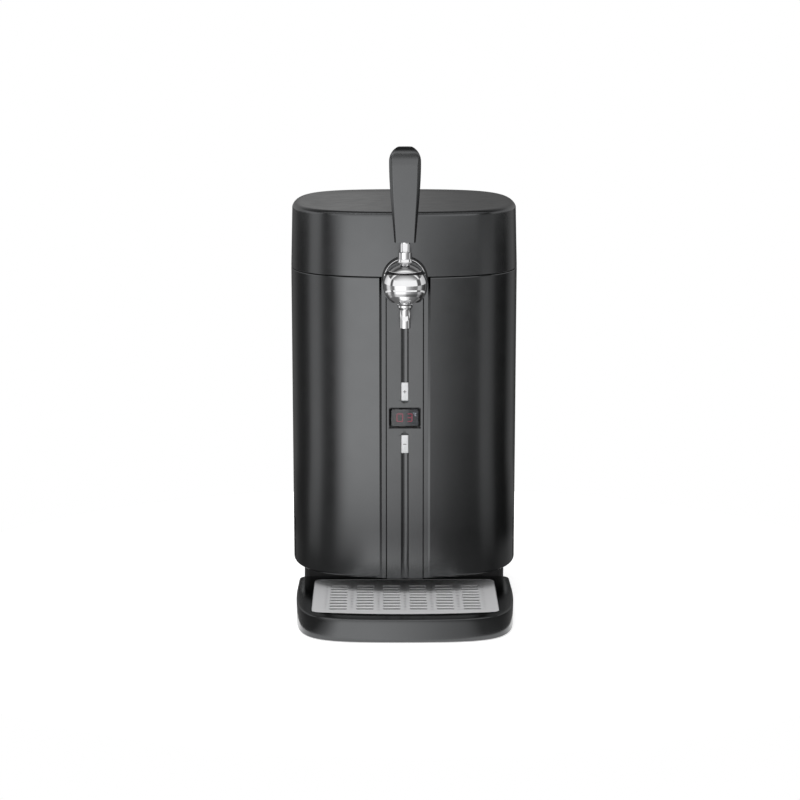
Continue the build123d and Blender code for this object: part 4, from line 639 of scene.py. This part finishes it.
def ball_skin():
    """Ball turned about the upright axis, flat below, open on top and along the lever's way forward."""
    rim = math.degrees(math.acos(-(BALL_FLAT - 0.5) / BALL_R))
    polar = np.radians(np.concatenate([[13, 24, 34, 44], np.linspace(49, rim, 36)]))
    wall = np.column_stack([BALL_R * np.sin(polar), BALL_R * np.cos(polar)])
    flat = [(17.3, -BALL_FLAT + 0.12), (16.7, -BALL_FLAT), (10, -BALL_FLAT), (4.6, -BALL_FLAT)]
    profile = np.concatenate([wall, flat])
    columns = 96
    past_front = np.abs((np.arange(columns) + 0.5) / columns * 360 - 270)
    keep = np.ones((len(profile) - 1, columns), bool)
    keep[:3] = past_front[None, :] > np.array([[49], [30], [22.5]])
    return revolve(profile, TAP_CENTER, count=columns)[0], quads(len(profile), columns, True, keep)


ball = chrome_piece("tap_ball", ball_skin(), replaces=("tap_body",), crease=40, flip=True)
thicken(ball, 2.5)


def hood_edge(low=15.3, rise=0.003):
    """Polar angle at which the hood ends: the sphere meets a cut that rises with the square of x."""
    polar = np.full_like(TURN, math.acos(low / HOOD_R))
    for _ in range(12):
        x = HOOD_R * np.sin(polar) * np.cos(TURN)
        polar = np.arccos((low + rise * x**2) / HOOD_R)
    return polar


def hood_skin():
    """Hood over the ball: polar angle from the neck to the arched edge, out over the top and back inside."""
    last, neck_radius, inner_neck, crease = hood_edge(), 9.4, 0.17, 0.012
    neck = math.asin(neck_radius / HOOD_R)
    rows = [(HOOD_R, neck + (last - crease - neck) * share) for share in np.linspace(0, 1, 16)]
    rows += [(HOOD_R - 0.12, last - 0.003), (HOOD_R - 0.4, last), (HOOD_IN + 0.12, last - 0.003)]
    rows += [(HOOD_IN, inner_neck + (last - crease - inner_neck) * share) for share in np.linspace(1, 0, 8)]
    flare_foot = math.sqrt(HOOD_R**2 - neck_radius**2)
    flare = [(neck_radius, 0), (8.7, 0.45), (8.15, 1.2), (7.85, 2.2), (7.75, 3.2)]
    flare = [(r, flare_foot + h) for r, h in flare] + [(7.75, 28.7), (7.5, 29), (4.05, 29), (4.05, 24.8)]
    top = [at_height(circle(r, 120), h) + TAP_CENTER for r, h in flare]
    return rings(top[::-1] + [on_ball(r, polar) for r, polar in rows] + [top[-1]])


chrome_piece("tap_cap", hood_skin(), "lever", replaces=("tap_hood",), crease=50)


def hood_shade_band():
    """Painted shade under the hood's edge: a black band for the dark gap between hood and ball, narrow in front
    and at the back and wider towards its two sides.
    """
    last = hood_edge()
    low = last + (1.8 + 2.8 * np.abs(np.cos(TURN)) ** 3) / HOOD_R
    face = HOOD_R - 0.2
    loop = [(face, last - 0.03), (face, low - 0.006), (HOOD_R - 0.4, low), (25, low), (25, last - 0.03)]
    return rings([on_ball(r, polar) for r, polar in loop + loop[:1]])


# Black band of painted shade under the hood's edge, where the gap to the ball falls dark.
make_piece("hood_painted_shade", hood_shade_band(), BEZEL_GLOSS, "black_rubber", "lever", crease=40)

stem_profile = [
    (0, 29), (7.4, 29), (7.75, 29.35), (7.75, 36), (7.4, 36.4), (5.5, 36.4), (5.3, 36.65), (5.3, 47.4),
    (4, 47.4), (4, 67), (0, 67.4),
]
eye_profile = [(2.55, -4), (5, -4), (5, 4), (2.55, 4), (2.55, -4)]
shaft_profile = [(0, 2.6), (4, 3.4), (4, 29.2), (0, 29.2)]
finger_profile = [(0, -12.2), (1.5, -11.6), (2.2, -10), (1.6, -8.6), (1, -8.1), (1, -4.6), (0, -4.6)]
lever_rod = joined(
    revolve(stem_profile, TAP_CENTER, count=72), revolve(eye_profile, TAP_CENTER, "x", 40),
    revolve(shaft_profile, TAP_CENTER, count=32), revolve(finger_profile, TAP_CENTER, count=24),
)
chrome_piece("lever_rod", lever_rod, "lever", replaces=("lever_stem",), crease=40)

nozzle_profile = [
    (3.9, -15), (5, -15), (4.6, -18.4), (4.4, -21), (5, -21.6), (8.2, -21.6), (8.5, -21.9), (8.5, -24.1),
    (8.2, -24.5), (6.5, -26.8), (6.2, -27.4), (6.2, -47), (5.8, -47.4), (4.3, -47.4), (3.9, -47), (3.9, -15),
]
chrome_piece("spout", revolve(nozzle_profile, TAP_CENTER), replaces=("spout_nozzle",))

ROSETTE_Z = TAP_Z + 3.2


def rosette():
    """Round plate behind the ball: rings whose middle moves from the plate's centre to the shank's bore."""
    plate_loop = [(7.2, -123.3), (25.4, -123.3), (25.7, -123.6), (25.7, -124), (24.7, -125.3), (24, -125.7),
                  (7.2, -125.7), (7.2, -123.3)]
    boss_loop = [(7.25, -122.3), (9.5, -122.3), (9.5, -123.25), (7.25, -123.25), (7.25, -122.3)]
    disc = [upright(circle(r, 96) + (0, SHANK_Z if r < 10 else ROSETTE_Z), y) for r, y in plate_loop]
    boss = [upright(circle(r, 96) + (0, SHANK_Z), y) for r, y in boss_loop]
    return joined(rings(disc[::-1]), rings(boss[::-1]))


make_piece("tap_back_plate", rosette(), BEZEL_GLOSS, "gloss_black", replaces=("tap_rosette",), crease=30)
bead_profile = [
    (22.3, -125.6), (22.45, -125.85), (22.8, -125.95), (23.15, -125.85), (23.3, -125.6), (22.3, -125.6),
]
chrome_piece("back_plate_bead", revolve(bead_profile, (0, 0, ROSETTE_Z), "y", 96))
shank_profile = [(3.5, -135.8), (7, -135.8), (7, -109), (3.5, -109), (3.5, -135.8)]
shank = revolve(shank_profile, (0, 0, SHANK_Z), "y", 48)
make_piece("shank_tube", shank, TURNED_STEEL, "tap_steel", replaces=("tap_shank",))

# --- handle
HANDLE_FRONT, HEAD_RADIUS = TAP_Y - 8.5, 17.4


def handle_ring(inset, foot_inset):
    """Front outline of the handle, drawn in by inset: flat foot, Bezier flanks, half-round head."""
    foot, head, shoulder = 11.6 - foot_inset, HEAD_RADIUS - inset, HANDLE_LENGTH - HEAD_RADIUS
    curve = [(foot, 0), (foot + 0.45 * (head - foot), 0.4 * shoulder), (head, 0.67 * shoulder), (head, shoulder)]
    dome = arc((0, shoulder), head, 0, 90, 20)[1:]
    right = np.concatenate([[(foot * 0.5, 0)], bezier(curve, np.linspace(0, 1, 40)), dome])
    return np.concatenate([right, right[::-1][1:] * (-1, 1)])


def handle_skin():
    """Paddle: outline rings whose depth joins the edge's bevel with the 20 mm arc that rolls the head back."""
    roll, bevel, cut = 20, 3.6, 12
    nose = HANDLE_LENGTH - roll
    top = nose + math.sqrt(roll**2 - (roll - cut) ** 2)

    def ring(inset, level, narrow=1):
        """Outline of the paddle at one inset and depth, with its head rolled back."""
        shape = handle_ring(inset, inset * 0.5 if level < 6 and inset < 6 else inset)
        z = np.minimum(shape[:, 1], top)
        over = np.clip(z - nose, 0, roll)
        lean = roll - np.sqrt(np.maximum(roll**2 - over**2, 0))
        rolled = (max(bevel - inset, 0) ** 3 + lean**3) ** (1 / 3)
        depth = np.maximum(np.minimum(rolled, cut), level)
        return np.column_stack([shape[:, 0] * narrow, HANDLE_FRONT + depth, HANDLE_FOOT + z])

    stack = [ring(9, 0, k) for k in (0, 0.3, 0.6)]
    stack += [ring(i, 0) for i in (9, 7, 5.4, 4.3, 3.7, 3.1, 2.2, 1.3, 0.6, 0.15, 0)]
    back = [(0, 6), (0, 9), (0, 12), (0.35, 13), (1.2, 14.2), (2.6, 15.6), (4.2, 16.6), (5.4, 17)]
    stack += [ring(i, d) for i, d in back] + [ring(5.4, 17, k) for k in (0.6, 0.3, 0)]
    return rings(stack)


paddle = handle_skin()
make_piece("handle_paddle", paddle, HANDLE_SATIN, "handle_black", "lever", replaces=("lever_handle",), crease=60)

# --- tray and grille
GRILLE_HALF, GRILLE_FRONT, GRILLE_REAR = 103, 217.2, 57.6
SKIRT_TOP = 7.2


def grille_outline(inset=0):
    """Drip grille seen from above: a shallow arc in front, straight sides, small rolled corners."""
    side, front, rear = GRILLE_HALF - inset, GRILLE_FRONT - inset, GRILLE_REAR + inset
    shoulder = front - (TRAY_FRONT - GRILLE_FRONT) * 0.4
    rise = front - shoulder
    radius = (side**2 + rise**2) / (2 * rise)
    x = np.linspace(-side + 11.5, side - 11.5, 40)
    bow = np.stack([x, -front + radius - np.sqrt(radius**2 - x**2)], axis=1)
    corner = rounded([bow[-1], (side, -shoulder), (side, -rear)], [0, 11, 0], 10)[1:-1]
    back = rounded([(side, -shoulder), (side, -rear), (0, -rear)], [0, 5, 0])[1:-1]
    right = np.concatenate([corner, back])
    return np.concatenate([bow, right, right[::-1] * (-1, 1)])


def tray_ring(inset, z, count=360):
    """Tray outline at a height; its skirt stops short along the back, where the base's tongue goes in."""
    ring = polar_ring(tray_outline(inset), TRAY_MIDDLE, count)
    open_back = (ring[:, 1] > -48) & (np.abs(ring[:, 0]) < 116)
    return at_height(ring, np.where(open_back, max(z, SKIRT_TOP), z))


def well_ring(inset, z, count=360):
    """Grille outline at a height, for the seat and the well."""
    return at_height(polar_ring(grille_outline(inset), TRAY_MIDDLE, count), z)


def tray_skin():
    """Tray: one closed profile from the floor's underside down the skirt, over the rim and into the well."""
    outside = [(2.6, SKIRT_TOP), (2.6, 1.2), (2.2, 1.1), (0.4, 1.1), (0, 1.5), (0, 12), (0, 20)]
    roll = arc((1.6, TRAY_TOP - 1.6), 1.6, 180, 90)
    well = [(-1, TRAY_TOP), (-0.5, TRAY_TOP - 0.15), (-0.4, TRAY_TOP - 0.5), (-0.4, GRILLE_SEAT),
            (5.6, GRILLE_SEAT), (6, GRILLE_SEAT - 0.4), (6.6, 12), (7.4, 10.2), (9, 9.6), (40, 9.6)]
    return rings([tray_ring(*row) for row in [*outside, *roll]] + [well_ring(*row) for row in well], True)


make_piece("tray_pan", tray_skin(), TRAY_GLOSS, "tray_black", "tray", replaces=("drip_tray",), crease=40)

PITCH_X, PITCH_Y, SLOT_LONG, SLOT_WIDE = 29.6, 12.8, 19.4, 8
GRILLE_MIDDLE_Y = -(GRILLE_FRONT + GRILLE_REAR) / 2 - 2.1


def grille_skin():
    """Grille: a slotted cell repeated six by nine, inside a border that runs out to the grille's own outline."""
    cell, hole, lip = (polar_ring(shape, np.zeros(2), 40) for shape in (
        box_ring(PITCH_X, PITCH_Y, 0), box_ring(SLOT_LONG, SLOT_WIDE, 1.2, count=5),
        box_ring(SLOT_LONG + 0.8, SLOT_WIDE + 0.8, 1.5, count=5)))
    section = [(cell, GRILLE_SEAT), (hole, GRILLE_SEAT), (hole, GRILLE_TOP - 0.35), (lip, GRILLE_TOP),
               (cell, GRILLE_TOP)]
    parts = []
    for column in range(6):
        for row in range(9):
            spot = (PITCH_X * (column - 2.5), GRILLE_MIDDLE_Y + PITCH_Y * (row - 4))
            parts.append(rings([at_height(shape + spot, z) for shape, z in section]))
    field = polar_ring(box_ring(PITCH_X * 6, PITCH_Y * 9, 0, (0, GRILLE_MIDDLE_Y)), TRAY_MIDDLE, 360)
    edge = [(0.3, GRILLE_SEAT), (0, GRILLE_SEAT + 0.3), (0, GRILLE_TOP - 0.35), (0.35, GRILLE_TOP)]
    border = [at_height(field, GRILLE_SEAT), *[well_ring(*row) for row in edge], at_height(field, GRILLE_TOP)]
    return joined(*parts, rings(border))


grille = grille_skin()
make_piece("grille_plate", grille, GRILLE_STEEL, "grille_steel", "grille", replaces=("drip_grille",), weld=False)

# --- display and buttons
CHANNEL_R, CHANNEL_DEPTH = 5.84, 2
CHANNEL_ENDS = (DISPLAY_Z + 20.9, DISPLAY_Z - 20.9)
FACE_HALF, FACE_FOOT = 20, 21.2
KEY_HALF, KEY_TALL, WINDOW_HALF, WINDOW_TALL, SHANK_HALF, SHANK_TALL = 4.25, 10.45, 17.9, 11.9, 8.9, 8.5


def channel_sink(x, z):
    """Depth of the finger channel at (x, z): a half pipe along z that ends in quarter balls at the display."""
    past = np.where(z > DISPLAY_Z, np.maximum(CHANNEL_ENDS[0] - z, 0), np.maximum(z - CHANNEL_ENDS[1], 0))
    room = np.maximum(CHANNEL_R**2 - x**2 - past**2, 0)
    return np.maximum(np.sqrt(room) - (CHANNEL_R - CHANNEL_DEPTH), 0)


def panel_skin():
    """Panel: columns over ledge, groove and face, rows up the body, sunk along the channel, with openings."""
    ledge, groove = PANEL_LEDGE, PANEL_LEDGE + 0.9
    face_x = (0, 0.7, 1.4, 2.2, 3, 3.7, KEY_HALF, 4.4, SHANK_HALF, WINDOW_HALF, FACE_HALF)
    edge = [(FACE_FOOT, ledge), (FACE_FOOT, groove), (FACE_FOOT + 0.8, groove), (FACE_FOOT + 0.8, ledge),
            (RECESS_HALF - 0.2, ledge)]
    half = np.array([(x, PANEL_FACE) for x in face_x] + edge)
    x, y = np.concatenate([half[:0:-1] * (-1, 1), half]).T
    ends = [side * (16.4 + 0.3 * k) for side in (-1, 1) for k in range(16)]
    reaches = (WINDOW_TALL, KEY_OFFSET - KEY_TALL, KEY_OFFSET + KEY_TALL)
    cuts = [side * reach for side in (-1, 1) for reach in reaches]
    rows = [BODY_BOTTOM, BODY_TOP, 80, 120, 160, 300, 340, SHANK_Z - SHANK_TALL, SHANK_Z + SHANK_TALL]
    z = np.unique(np.round([DISPLAY_Z + a for a in ends + cuts] + rows, 4))
    xx, zz = np.meshgrid(x, z, indexing="ij")
    yy = y[:, None] + np.where(np.abs(xx) <= 4.41, channel_sink(xx, zz), 0)
    x_mid, z_mid = np.abs(x[:-1] + x[1:])[:, None] / 2, ((z[:-1] + z[1:]) / 2)[None, :]
    display = (x_mid < WINDOW_HALF) & (np.abs(z_mid - DISPLAY_Z) < WINDOW_TALL)
    keys = (x_mid < KEY_HALF) & (np.abs(np.abs(z_mid - DISPLAY_Z) - KEY_OFFSET) < KEY_TALL)
    shank_hole = (x_mid < SHANK_HALF) & (np.abs(z_mid - SHANK_Z) < SHANK_TALL)
    return np.stack([xx, yy, zz], axis=-1), quads(len(x), len(z), keep=~(display | keys | shank_hole))


panel = coat_piece("panel_face", panel_skin(), replaces=("control_panel",), crease=30, flip=True)
thicken(panel, 1.6)


def box_stack(rows, z, closed=True):
    """Upright rounded boxes of (width, height, corner radius, depth y) about height z, skinned one to the next."""
    return rings([upright(box_ring(width, tall, radius, (0, z)), y) for width, tall, radius, y in rows], closed)


# Bezel: a rounded rim that falls in a sloped funnel to the window.
bezel_rows = [
    (29.7, 18.4, 2, RECESS_FLOOR), (35.5, 23.3, 4, RECESS_FLOOR), (35.5, 23.3, 4, PANEL_FACE + 0.2),
    (35.2, 23, 3.9, PANEL_FACE), (34.9, 22.7, 3.7, PANEL_FACE + 0.02), (34.7, 22.5, 3.6, PANEL_FACE + 0.2),
    (29.9, 18.6, 2, -119.7), (29.7, 18.4, 2, -119.5), (29.7, 18.4, 2, RECESS_FLOOR),
]
display_rim = box_stack(bezel_rows[::-1], DISPLAY_Z, closed=False)
make_piece("display_rim", display_rim, SATIN, "gloss_black", replaces=("display_bezel",), crease=30)


def key_skin(z):
    """Press button: rounded upright bar with rolled front edges, a flange and a post behind."""
    face = PANEL_FACE + 0.1
    bar = box_stack([(6.4, 18.8, 0.6, face), (7.2, 19.6, 0.9, face + 0.12), (7.8, 20.2, 0.9, face + 0.5),
                     (8, 20.4, 0.9, face + 1), (8, 20.4, 0.9, RECESS_FLOOR)], z)
    flange = box_stack([(11, 23.4, 0.5, RECESS_FLOOR - 1.3), (11, 23.4, 0.5, RECESS_FLOOR)], z)
    post = revolve([(0, RECESS_FLOOR), (2, RECESS_FLOOR), (2, -114.6), (0, -114.6)], (0, 0, z), "y", 24)
    return joined(bar, flange, post)


for key, z in zip(("plus", "minus"), KEY_HEIGHTS):
    cap_name, button = key + "_key_cap", key + "_button"
    make_piece(cap_name, key_skin(z), SILVER_KEY, "silver_button", key + "_key", replaces=(button,))


def strokes(segments, y):
    """Flat bars a little proud of a face: each (x0, z0, x1, z1, width) becomes a thin box with cut ends."""
    parts = []
    for x0, z0, x1, z1, width in segments:
        along = np.array([x1 - x0, z1 - z0], float)
        along /= np.linalg.norm(along)
        across, tip = np.array([-along[1], along[0]]) * width / 2, along * width / 2
        a, b = np.array([x0, z0]), np.array([x1, z1])
        shape = np.array([a, a + tip + across, b - tip + across, b, b - tip - across, a + tip - across])
        parts.append(rings([upright(shape, y - 0.12), upright(shape, y)], True))
    return joined(*parts)


plus_z, minus_z = KEY_HEIGHTS
plus_bars = [(-2, plus_z, 2, plus_z, 0.7), (0, plus_z - 2, 0, plus_z + 2, 0.7)]
minus_bars = [(-2, minus_z, 2, minus_z, 0.7)]
for key, bars in (("plus", plus_bars), ("minus", minus_bars)):
    make_piece(key + "_mark", strokes(bars, PANEL_FACE + 0.14), MARK_GREY, "silver_button", key + "_key")

# Ends of the seven bars of a digit, as shares of its width and height.
SEGMENTS = {"a": (0, 1, 1, 1), "b": (1, 1, 1, 0.5), "c": (1, 0.5, 1, 0), "d": (0, 0, 1, 0), "e": (0, 0, 0, 0.5),
            "f": (0, 0.5, 0, 1), "g": (0, 0.5, 1, 0.5)}
MODULE_FACE = RECESS_FLOOR + 0.08


def digit(letters, x, width, z=DISPLAY_Z - 4.4, tall=8.4, stroke=0.7):
    """Seven-segment digit with its lower left corner at (x, z)."""
    bars = np.array([SEGMENTS[letter] for letter in letters]) * (width, tall, width, tall) + (x, z, x, z)
    return [(*bar, stroke) for bar in bars]


red_bars = digit("abcdef", -8.6, 6.2) + digit("abcdg", 3, 4.9)
make_piece("temperature_digits", strokes(red_bars, MODULE_FACE), RED_SEGMENT, "display_black", weld=False)
degree_bars = [
    (9.4, 5.3, 10.1, 5.3, 0.3), (10.1, 5.3, 10.1, 4.6, 0.3), (10.1, 4.6, 9.4, 4.6, 0.3), (9.4, 4.6, 9.4, 5.3, 0.3),
    (12.8, 4.7, 11.2, 4.7, 0.5), (11.2, 4.7, 11.2, 1.9, 0.5), (11.2, 1.9, 12.8, 1.9, 0.5),
]
degree_bars = np.array(degree_bars) + (0, DISPLAY_Z, 0, DISPLAY_Z, 0)
make_piece("degree_sign", strokes(degree_bars, MODULE_FACE), WHITE_SEGMENT, "display_black", weld=False)


def cover_skin():
    """Clear cover of the display: its front is a circle of 80 mm about an upright axis."""
    crown, half = 80, 15.25
    outline = box_ring(2 * half, 19.2, 1.5, (0, DISPLAY_Z))
    stack = []
    for share in (0.02, 0.2, 0.4, 0.6, 0.8, 1):
        shape = outline * (share, 1)
        bow = np.sqrt(crown**2 - shape[:, 0] ** 2) - math.sqrt(crown**2 - half**2)
        stack.append(upright(shape, PANEL_LEDGE + 0.3 - bow))
    return rings(stack + [upright(outline, -118.5)], True)


make_piece("display_cover", cover_skin(), SMOKED, "smoked_lens", replaces=("display_lens",), crease=50)

# --- chamber, hose and coupler
DECK_TOP = SHANK_Z - 4.7
chamber_profile = [
    (0, 111.2), (88, 111.2), (91.5, 114.5), (91.5, DECK_TOP), (97, DECK_TOP), (97, DECK_TOP + 0.8),
    (96.6, DECK_TOP + 1.2), (91.2, DECK_TOP + 1.2), (90, DECK_TOP), (90, 116), (89, 113.6), (86.5, 112.7),
    (0, 112.7),
]
chamber = revolve(chamber_profile, (0, 0, 0), count=128)
make_piece("chamber_cup", chamber, CHAMBER_METAL, "chamber_aluminium", replaces=("keg_chamber",))
ridges = [(r, 114.7 if k % 2 else 114.4) for k, r in enumerate(range(74, 4, -4))]
mat_profile = [(0, 112.75), (78, 112.75), (78, 114.3), (77.6, 114.7), *ridges, (0, 114.7)]
mat = revolve(mat_profile, (0, 0, 0), count=96)
make_piece("chamber_mat", mat, RUBBER, "black_rubber", replaces=("keg_mat",))

coupler_profile = [
    (6.2, 0), (13.6, 0), (14, 0.4), (14, 11.4), (13.5, 12), (10.4, 12.4), (9.8, 13), (9.8, 28),
    (10.4, 28.8), (14.6, 29), (15, 29.5), (15, 32.4), (14.4, 33), (0, 33),
]
coupler_bore = [(0, 14.3), (6.2, 14.3), (6.2, 0)]
coupler_center = (52, 138, DECK_TOP + 0.2)
coupler = joined(revolve(coupler_profile, coupler_center), revolve(coupler_bore, coupler_center))
make_piece("coupler_body", coupler, BLACK_PLASTIC, "black_plastic", replaces=("keg_coupler",))

# --- finishes of the solids that stay
KEPT = (
    (SCREW_STEEL, "base_screws sink_screws fan_screws rear_screws hinge_pins"),
    (TURNED_STEEL, "temperature_probe shank_nut shank_elbow lever_pin valve_plunger"),
    (BLACK_PLASTIC, "chamber_cradle fan_frame fan_rotor rear_cover power_inlet switch_frame"),
    (BOARD, "control_board power_board"), (FOAM, "chamber_insulation lid_insulation"),
    (GREY_PLASTIC, "top_deck lid_liner"), (SINK_METAL, "cold_block heat_sink"), (RUBBER, "lid_gasket"),
    (CERAMIC, "peltier_module"), (HOSE, "beer_hose"), (DISPLAY_FACE, "led_module"), (BEZEL_GLOSS, "power_rocker"),
)
for finish, nodes in KEPT:
    for node in nodes.split():
        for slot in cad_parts[node].material_slots:
            slot.material = finish



# --- camera
def aimed(place, target):
    """Turn of a camera or lamp that stands at place and looks at target."""
    return (Vector(target) - Vector(place)).to_track_quat("-Z", "Y").to_euler()


CAMERA_PITCH, CAMERA_DISTANCE, AIM_Z = math.radians(9.62), 2997, 226.5
IMAGE_WIDTH, FOCAL_PIXELS = 800, 2582
camera_data = bpy.data.cameras.new("camera")
camera_data.sensor_width = 36
camera_data.lens = 36 * FOCAL_PIXELS / IMAGE_WIDTH
camera_data.shift_x = -0.005
camera_data.clip_end = 50
camera = put("camera", camera_data)
camera.location = Vector((
    -0.022, (KEG_Y - CAMERA_DISTANCE * math.cos(CAMERA_PITCH)) * MM,
    (AIM_Z + CAMERA_DISTANCE * math.sin(CAMERA_PITCH)) * MM,
))
camera.rotation_euler = aimed(camera.location, (0, KEG_Y * MM, AIM_Z * MM))
bpy.context.scene.camera = camera


# --- floor and light
def stage_sheet(name, points, faces, material):
    """A sheet of the studio from millimetre points (n, 3) and index faces."""
    mesh = bpy.data.meshes.new(name)
    mesh.from_pydata((points * MM).tolist(), [], faces.tolist())
    mesh.materials.append(material)
    sheet = put(name, mesh)
    return sheet


def seen_directly(tree):
    """1 for rays from the camera, from metal or through glass, and 0 for light on its way to a matt surface."""
    ray = add(tree, "LightPath").outputs
    total = calculate(tree, "MAXIMUM", ray["Is Camera Ray"], ray["Is Glossy Ray"])
    return calculate(tree, "MAXIMUM", total, ray["Is Transmission Ray"])


def floor_finish(tone=0.8, lift=0.62):
    """Plain pale floor: diffuse, lifted to white for the eye and for mirrors but for the object's soft shadow."""
    material, tree = new_material("floor_paper")
    paper = add(tree, "BsdfDiffuse", Color=(tone, tone, tone, 1))
    glow = add(tree, "Emission", Strength=calculate(tree, "MULTIPLY", seen_directly(tree), lift))
    both = add(tree, "AddShader")
    tree.links.new(paper.outputs["BSDF"], both.inputs[0])
    tree.links.new(glow.outputs["Emission"], both.inputs[1])
    add(tree, "OutputMaterial", Surface=both.outputs["Shader"])
    return material


stage_sheet("floor", at_height(circle(620, 96), 0), np.arange(96)[None], floor_finish())

# Grey boards ring the white studio: brightness against compass angle, 0 in front, positive right. Upright walls
# mirror the middle ring; round bright parts and flat tops mirror the rings above and below it.
MIDDLE_RING = [
    (-180, 0.05), (-150, 0.10), (-135, 0.05), (-120, 0.05), (-108, 0.10), (-98, 0.42), (-84, 0.46), (-76, 0.22),
    (-70, 0.12), (-58, 0.10), (-48, 0.62), (-40, 1), (-12, 1), (0, 0.84), (8, 0.42), (30, 0.20), (48, 0.12),
    (62, 0.12), (68, 0.30), (80, 0.29), (88, 0.20), (96, 0.05), (120, 0.02), (132, 0.12), (146, 0.15), (158, 0.03),
    (180, 0.05),
]
UPPER_RING = [
    (-180, 0.25), (-177.5, 0.33), (-174, 0.20), (-160, 0.3), (-128, 0.5), (-98, 0.95), (-80, 0.9), (-76, 0.10),
    (-66, 0.10), (-60, 0.95), (-12, 1), (60, 0.95), (66, 0.10), (84, 0.10), (90, 0.7), (130, 0.5), (160, 0.25),
    (174, 0.14), (177, 0.17), (180, 0.25),
]
NEAR_CARD = [
    (-180, 0.1), (-110, 0.05), (-95, 0.08), (-75, 0.08), (-62, 0.08), (-36, 0.10), (-28, 0.4), (-21, 0.95),
    (-8, 0.95), (0, 0.8), (10, 0.55), (19, 0.4), (26, 0.15), (40, 0.1), (60, 0.08), (80, 0.05), (100, 0.1),
    (180, 0.1),
]
FAR_CARD = [
    (-180, 0.05), (-128, 0.05), (-114, 0.04), (-105, 0.08), (-95, 0.24), (-82, 0.24), (-74, 0.10), (-58, 0.12),
    (-48, 0.34), (-38, 0.42), (-12, 0.36), (0, 0.28), (8, 0.12), (30, 0.07), (48, 0.05), (62, 0.05), (70, 0.14),
    (84, 0.12), (92, 0.02), (118, 0.01), (130, 0.06), (145, 0.08), (158, 0.02), (180, 0.05),
]
CEILING = [
    (-2.5, 1), (-2.2, 0.95), (-1.6, 0.76), (-1.1, 0.41), (-0.8, 0.22), (-0.58, 0.2), (-0.5, 0.95), (-0.38, 0.95),
    (-0.28, 0.55), (-0.18, 0.25), (0, 0.06), (0.14, 0.05), (0.3, 0.12), (0.5, 0.2), (2.5, 0.3),
]
KEY_LEVEL = 1.62


def ramp(tree, share, stops, reach):
    """Colour ramp of (place, brightness) stops from -reach to reach, read at a share of that span."""
    node = add(tree, "ValToRGB", Fac=share)
    elements = node.color_ramp.elements
    elements.remove(elements[-1])
    for k, (place, level) in enumerate(stops):
        position = (place + reach) / (2 * reach)
        element = elements.new(position) if k else elements[0]
        element.position = position
        element.color = (level, level, level, 1)
    return node.outputs["Color"]


def board_finish(name, stops, strength, ceiling=False):
    """Plain glow of a board: brightness stops against compass angle, or for the ceiling against y in metres."""
    material, tree = new_material(name)
    place = add(tree, "SeparateXYZ", Vector=add(tree, "TexCoord").outputs["Object"]).outputs
    if ceiling:
        value, reach, span = place["Y"], 2.5, 2.5
    else:
        front = calculate(tree, "MULTIPLY", place["Y"], -1)
        value, reach, span = calculate(tree, "ARCTAN2", place["X"], front), math.pi, 180
    share = calculate(tree, "MULTIPLY_ADD", value, 1 / (2 * reach), 0.5)
    glow = add(tree, "Emission", Color=ramp(tree, share, stops, span), Strength=strength)
    add(tree, "OutputMaterial", Surface=glow.outputs["Emission"])
    return material


def studio_ring(radius, z):
    """A level ring of points round the studio."""
    return at_height(circle(radius, 120, -np.pi), z)


def board_piece(name, inner, outer, material):
    """Strip of grey boards between two rings of points, seen only in metal and glass."""
    points = np.concatenate([inner, outer])
    boards = stage_sheet(name, points, quads(2, len(inner), close_cols=True), material)
    boards.visible_camera = False
    boards.visible_diffuse = False
    boards.visible_shadow = False


STUDIO_RADIUS, STUDIO_TOP, CARD_Z = 2500, 1500, 0.5
upper, middle = board_finish("upper_boards", UPPER_RING, 1), board_finish("middle_boards", MIDDLE_RING, KEY_LEVEL)
for name, low, high, material in (("upper_boards", 350, STUDIO_TOP, upper), ("middle_boards", -450, 350, middle),
                                  ("lower_boards", -1300, -450, upper)):
    board_piece(name, studio_ring(STUDIO_RADIUS, low), studio_ring(STUDIO_RADIUS, high), material)
ceiling_glow = board_finish("ceiling_board", CEILING, 1, ceiling=True)
board_piece("ceiling_board", studio_ring(1, STUDIO_TOP), studio_ring(STUDIO_RADIUS, STUDIO_TOP), ceiling_glow)
inner_edge = at_height(polar_ring(box_ring(262, 452, 60), np.zeros(2), 120), CARD_Z)
CARDS = (
    ("near_card", 400, NEAR_CARD, KEY_LEVEL), ("far_card", 580, FAR_CARD, KEY_LEVEL),
    ("rim_card", 850, MIDDLE_RING, 0.78 * KEY_LEVEL),
)
for name, radius, stops, level in CARDS:
    outer_edge = studio_ring(radius, CARD_Z)
    board_piece(name, inner_edge, outer_edge, board_finish(name, stops, level))
    inner_edge = outer_edge


def studio_world():
    """World: white for the eye, for metal and for glass, and a plain soft light for everything else."""
    world = bpy.data.worlds.new("studio")
    world.use_nodes = True
    tree = world.node_tree
    tree.nodes.clear()
    soft, white = (add(tree, "Background", Color=(1, 1, 1, 1), Strength=level) for level in (0.8, 1))
    choose = add(tree, "MixShader", Fac=seen_directly(tree))
    tree.links.new(soft.outputs["Background"], choose.inputs[1])
    tree.links.new(white.outputs["Background"], choose.inputs[2])
    add(tree, "OutputWorld", Surface=choose.outputs["Shader"])
    bpy.context.scene.world = world


studio_world()

lamp_data = bpy.data.lights.new("top_box", "AREA")
lamp_data.shape = "RECTANGLE"
lamp_data.size, lamp_data.size_y = 1.4, 1
lamp_data.energy = 22
lamp = put("top_box", lamp_data)
lamp.location = (-0.9, -0.9, 2.4)
lamp.rotation_euler = aimed(lamp.location, (0, 0, 0.3))
lamp.visible_camera = False

bpy.context.scene.view_settings.view_transform = "Standard"
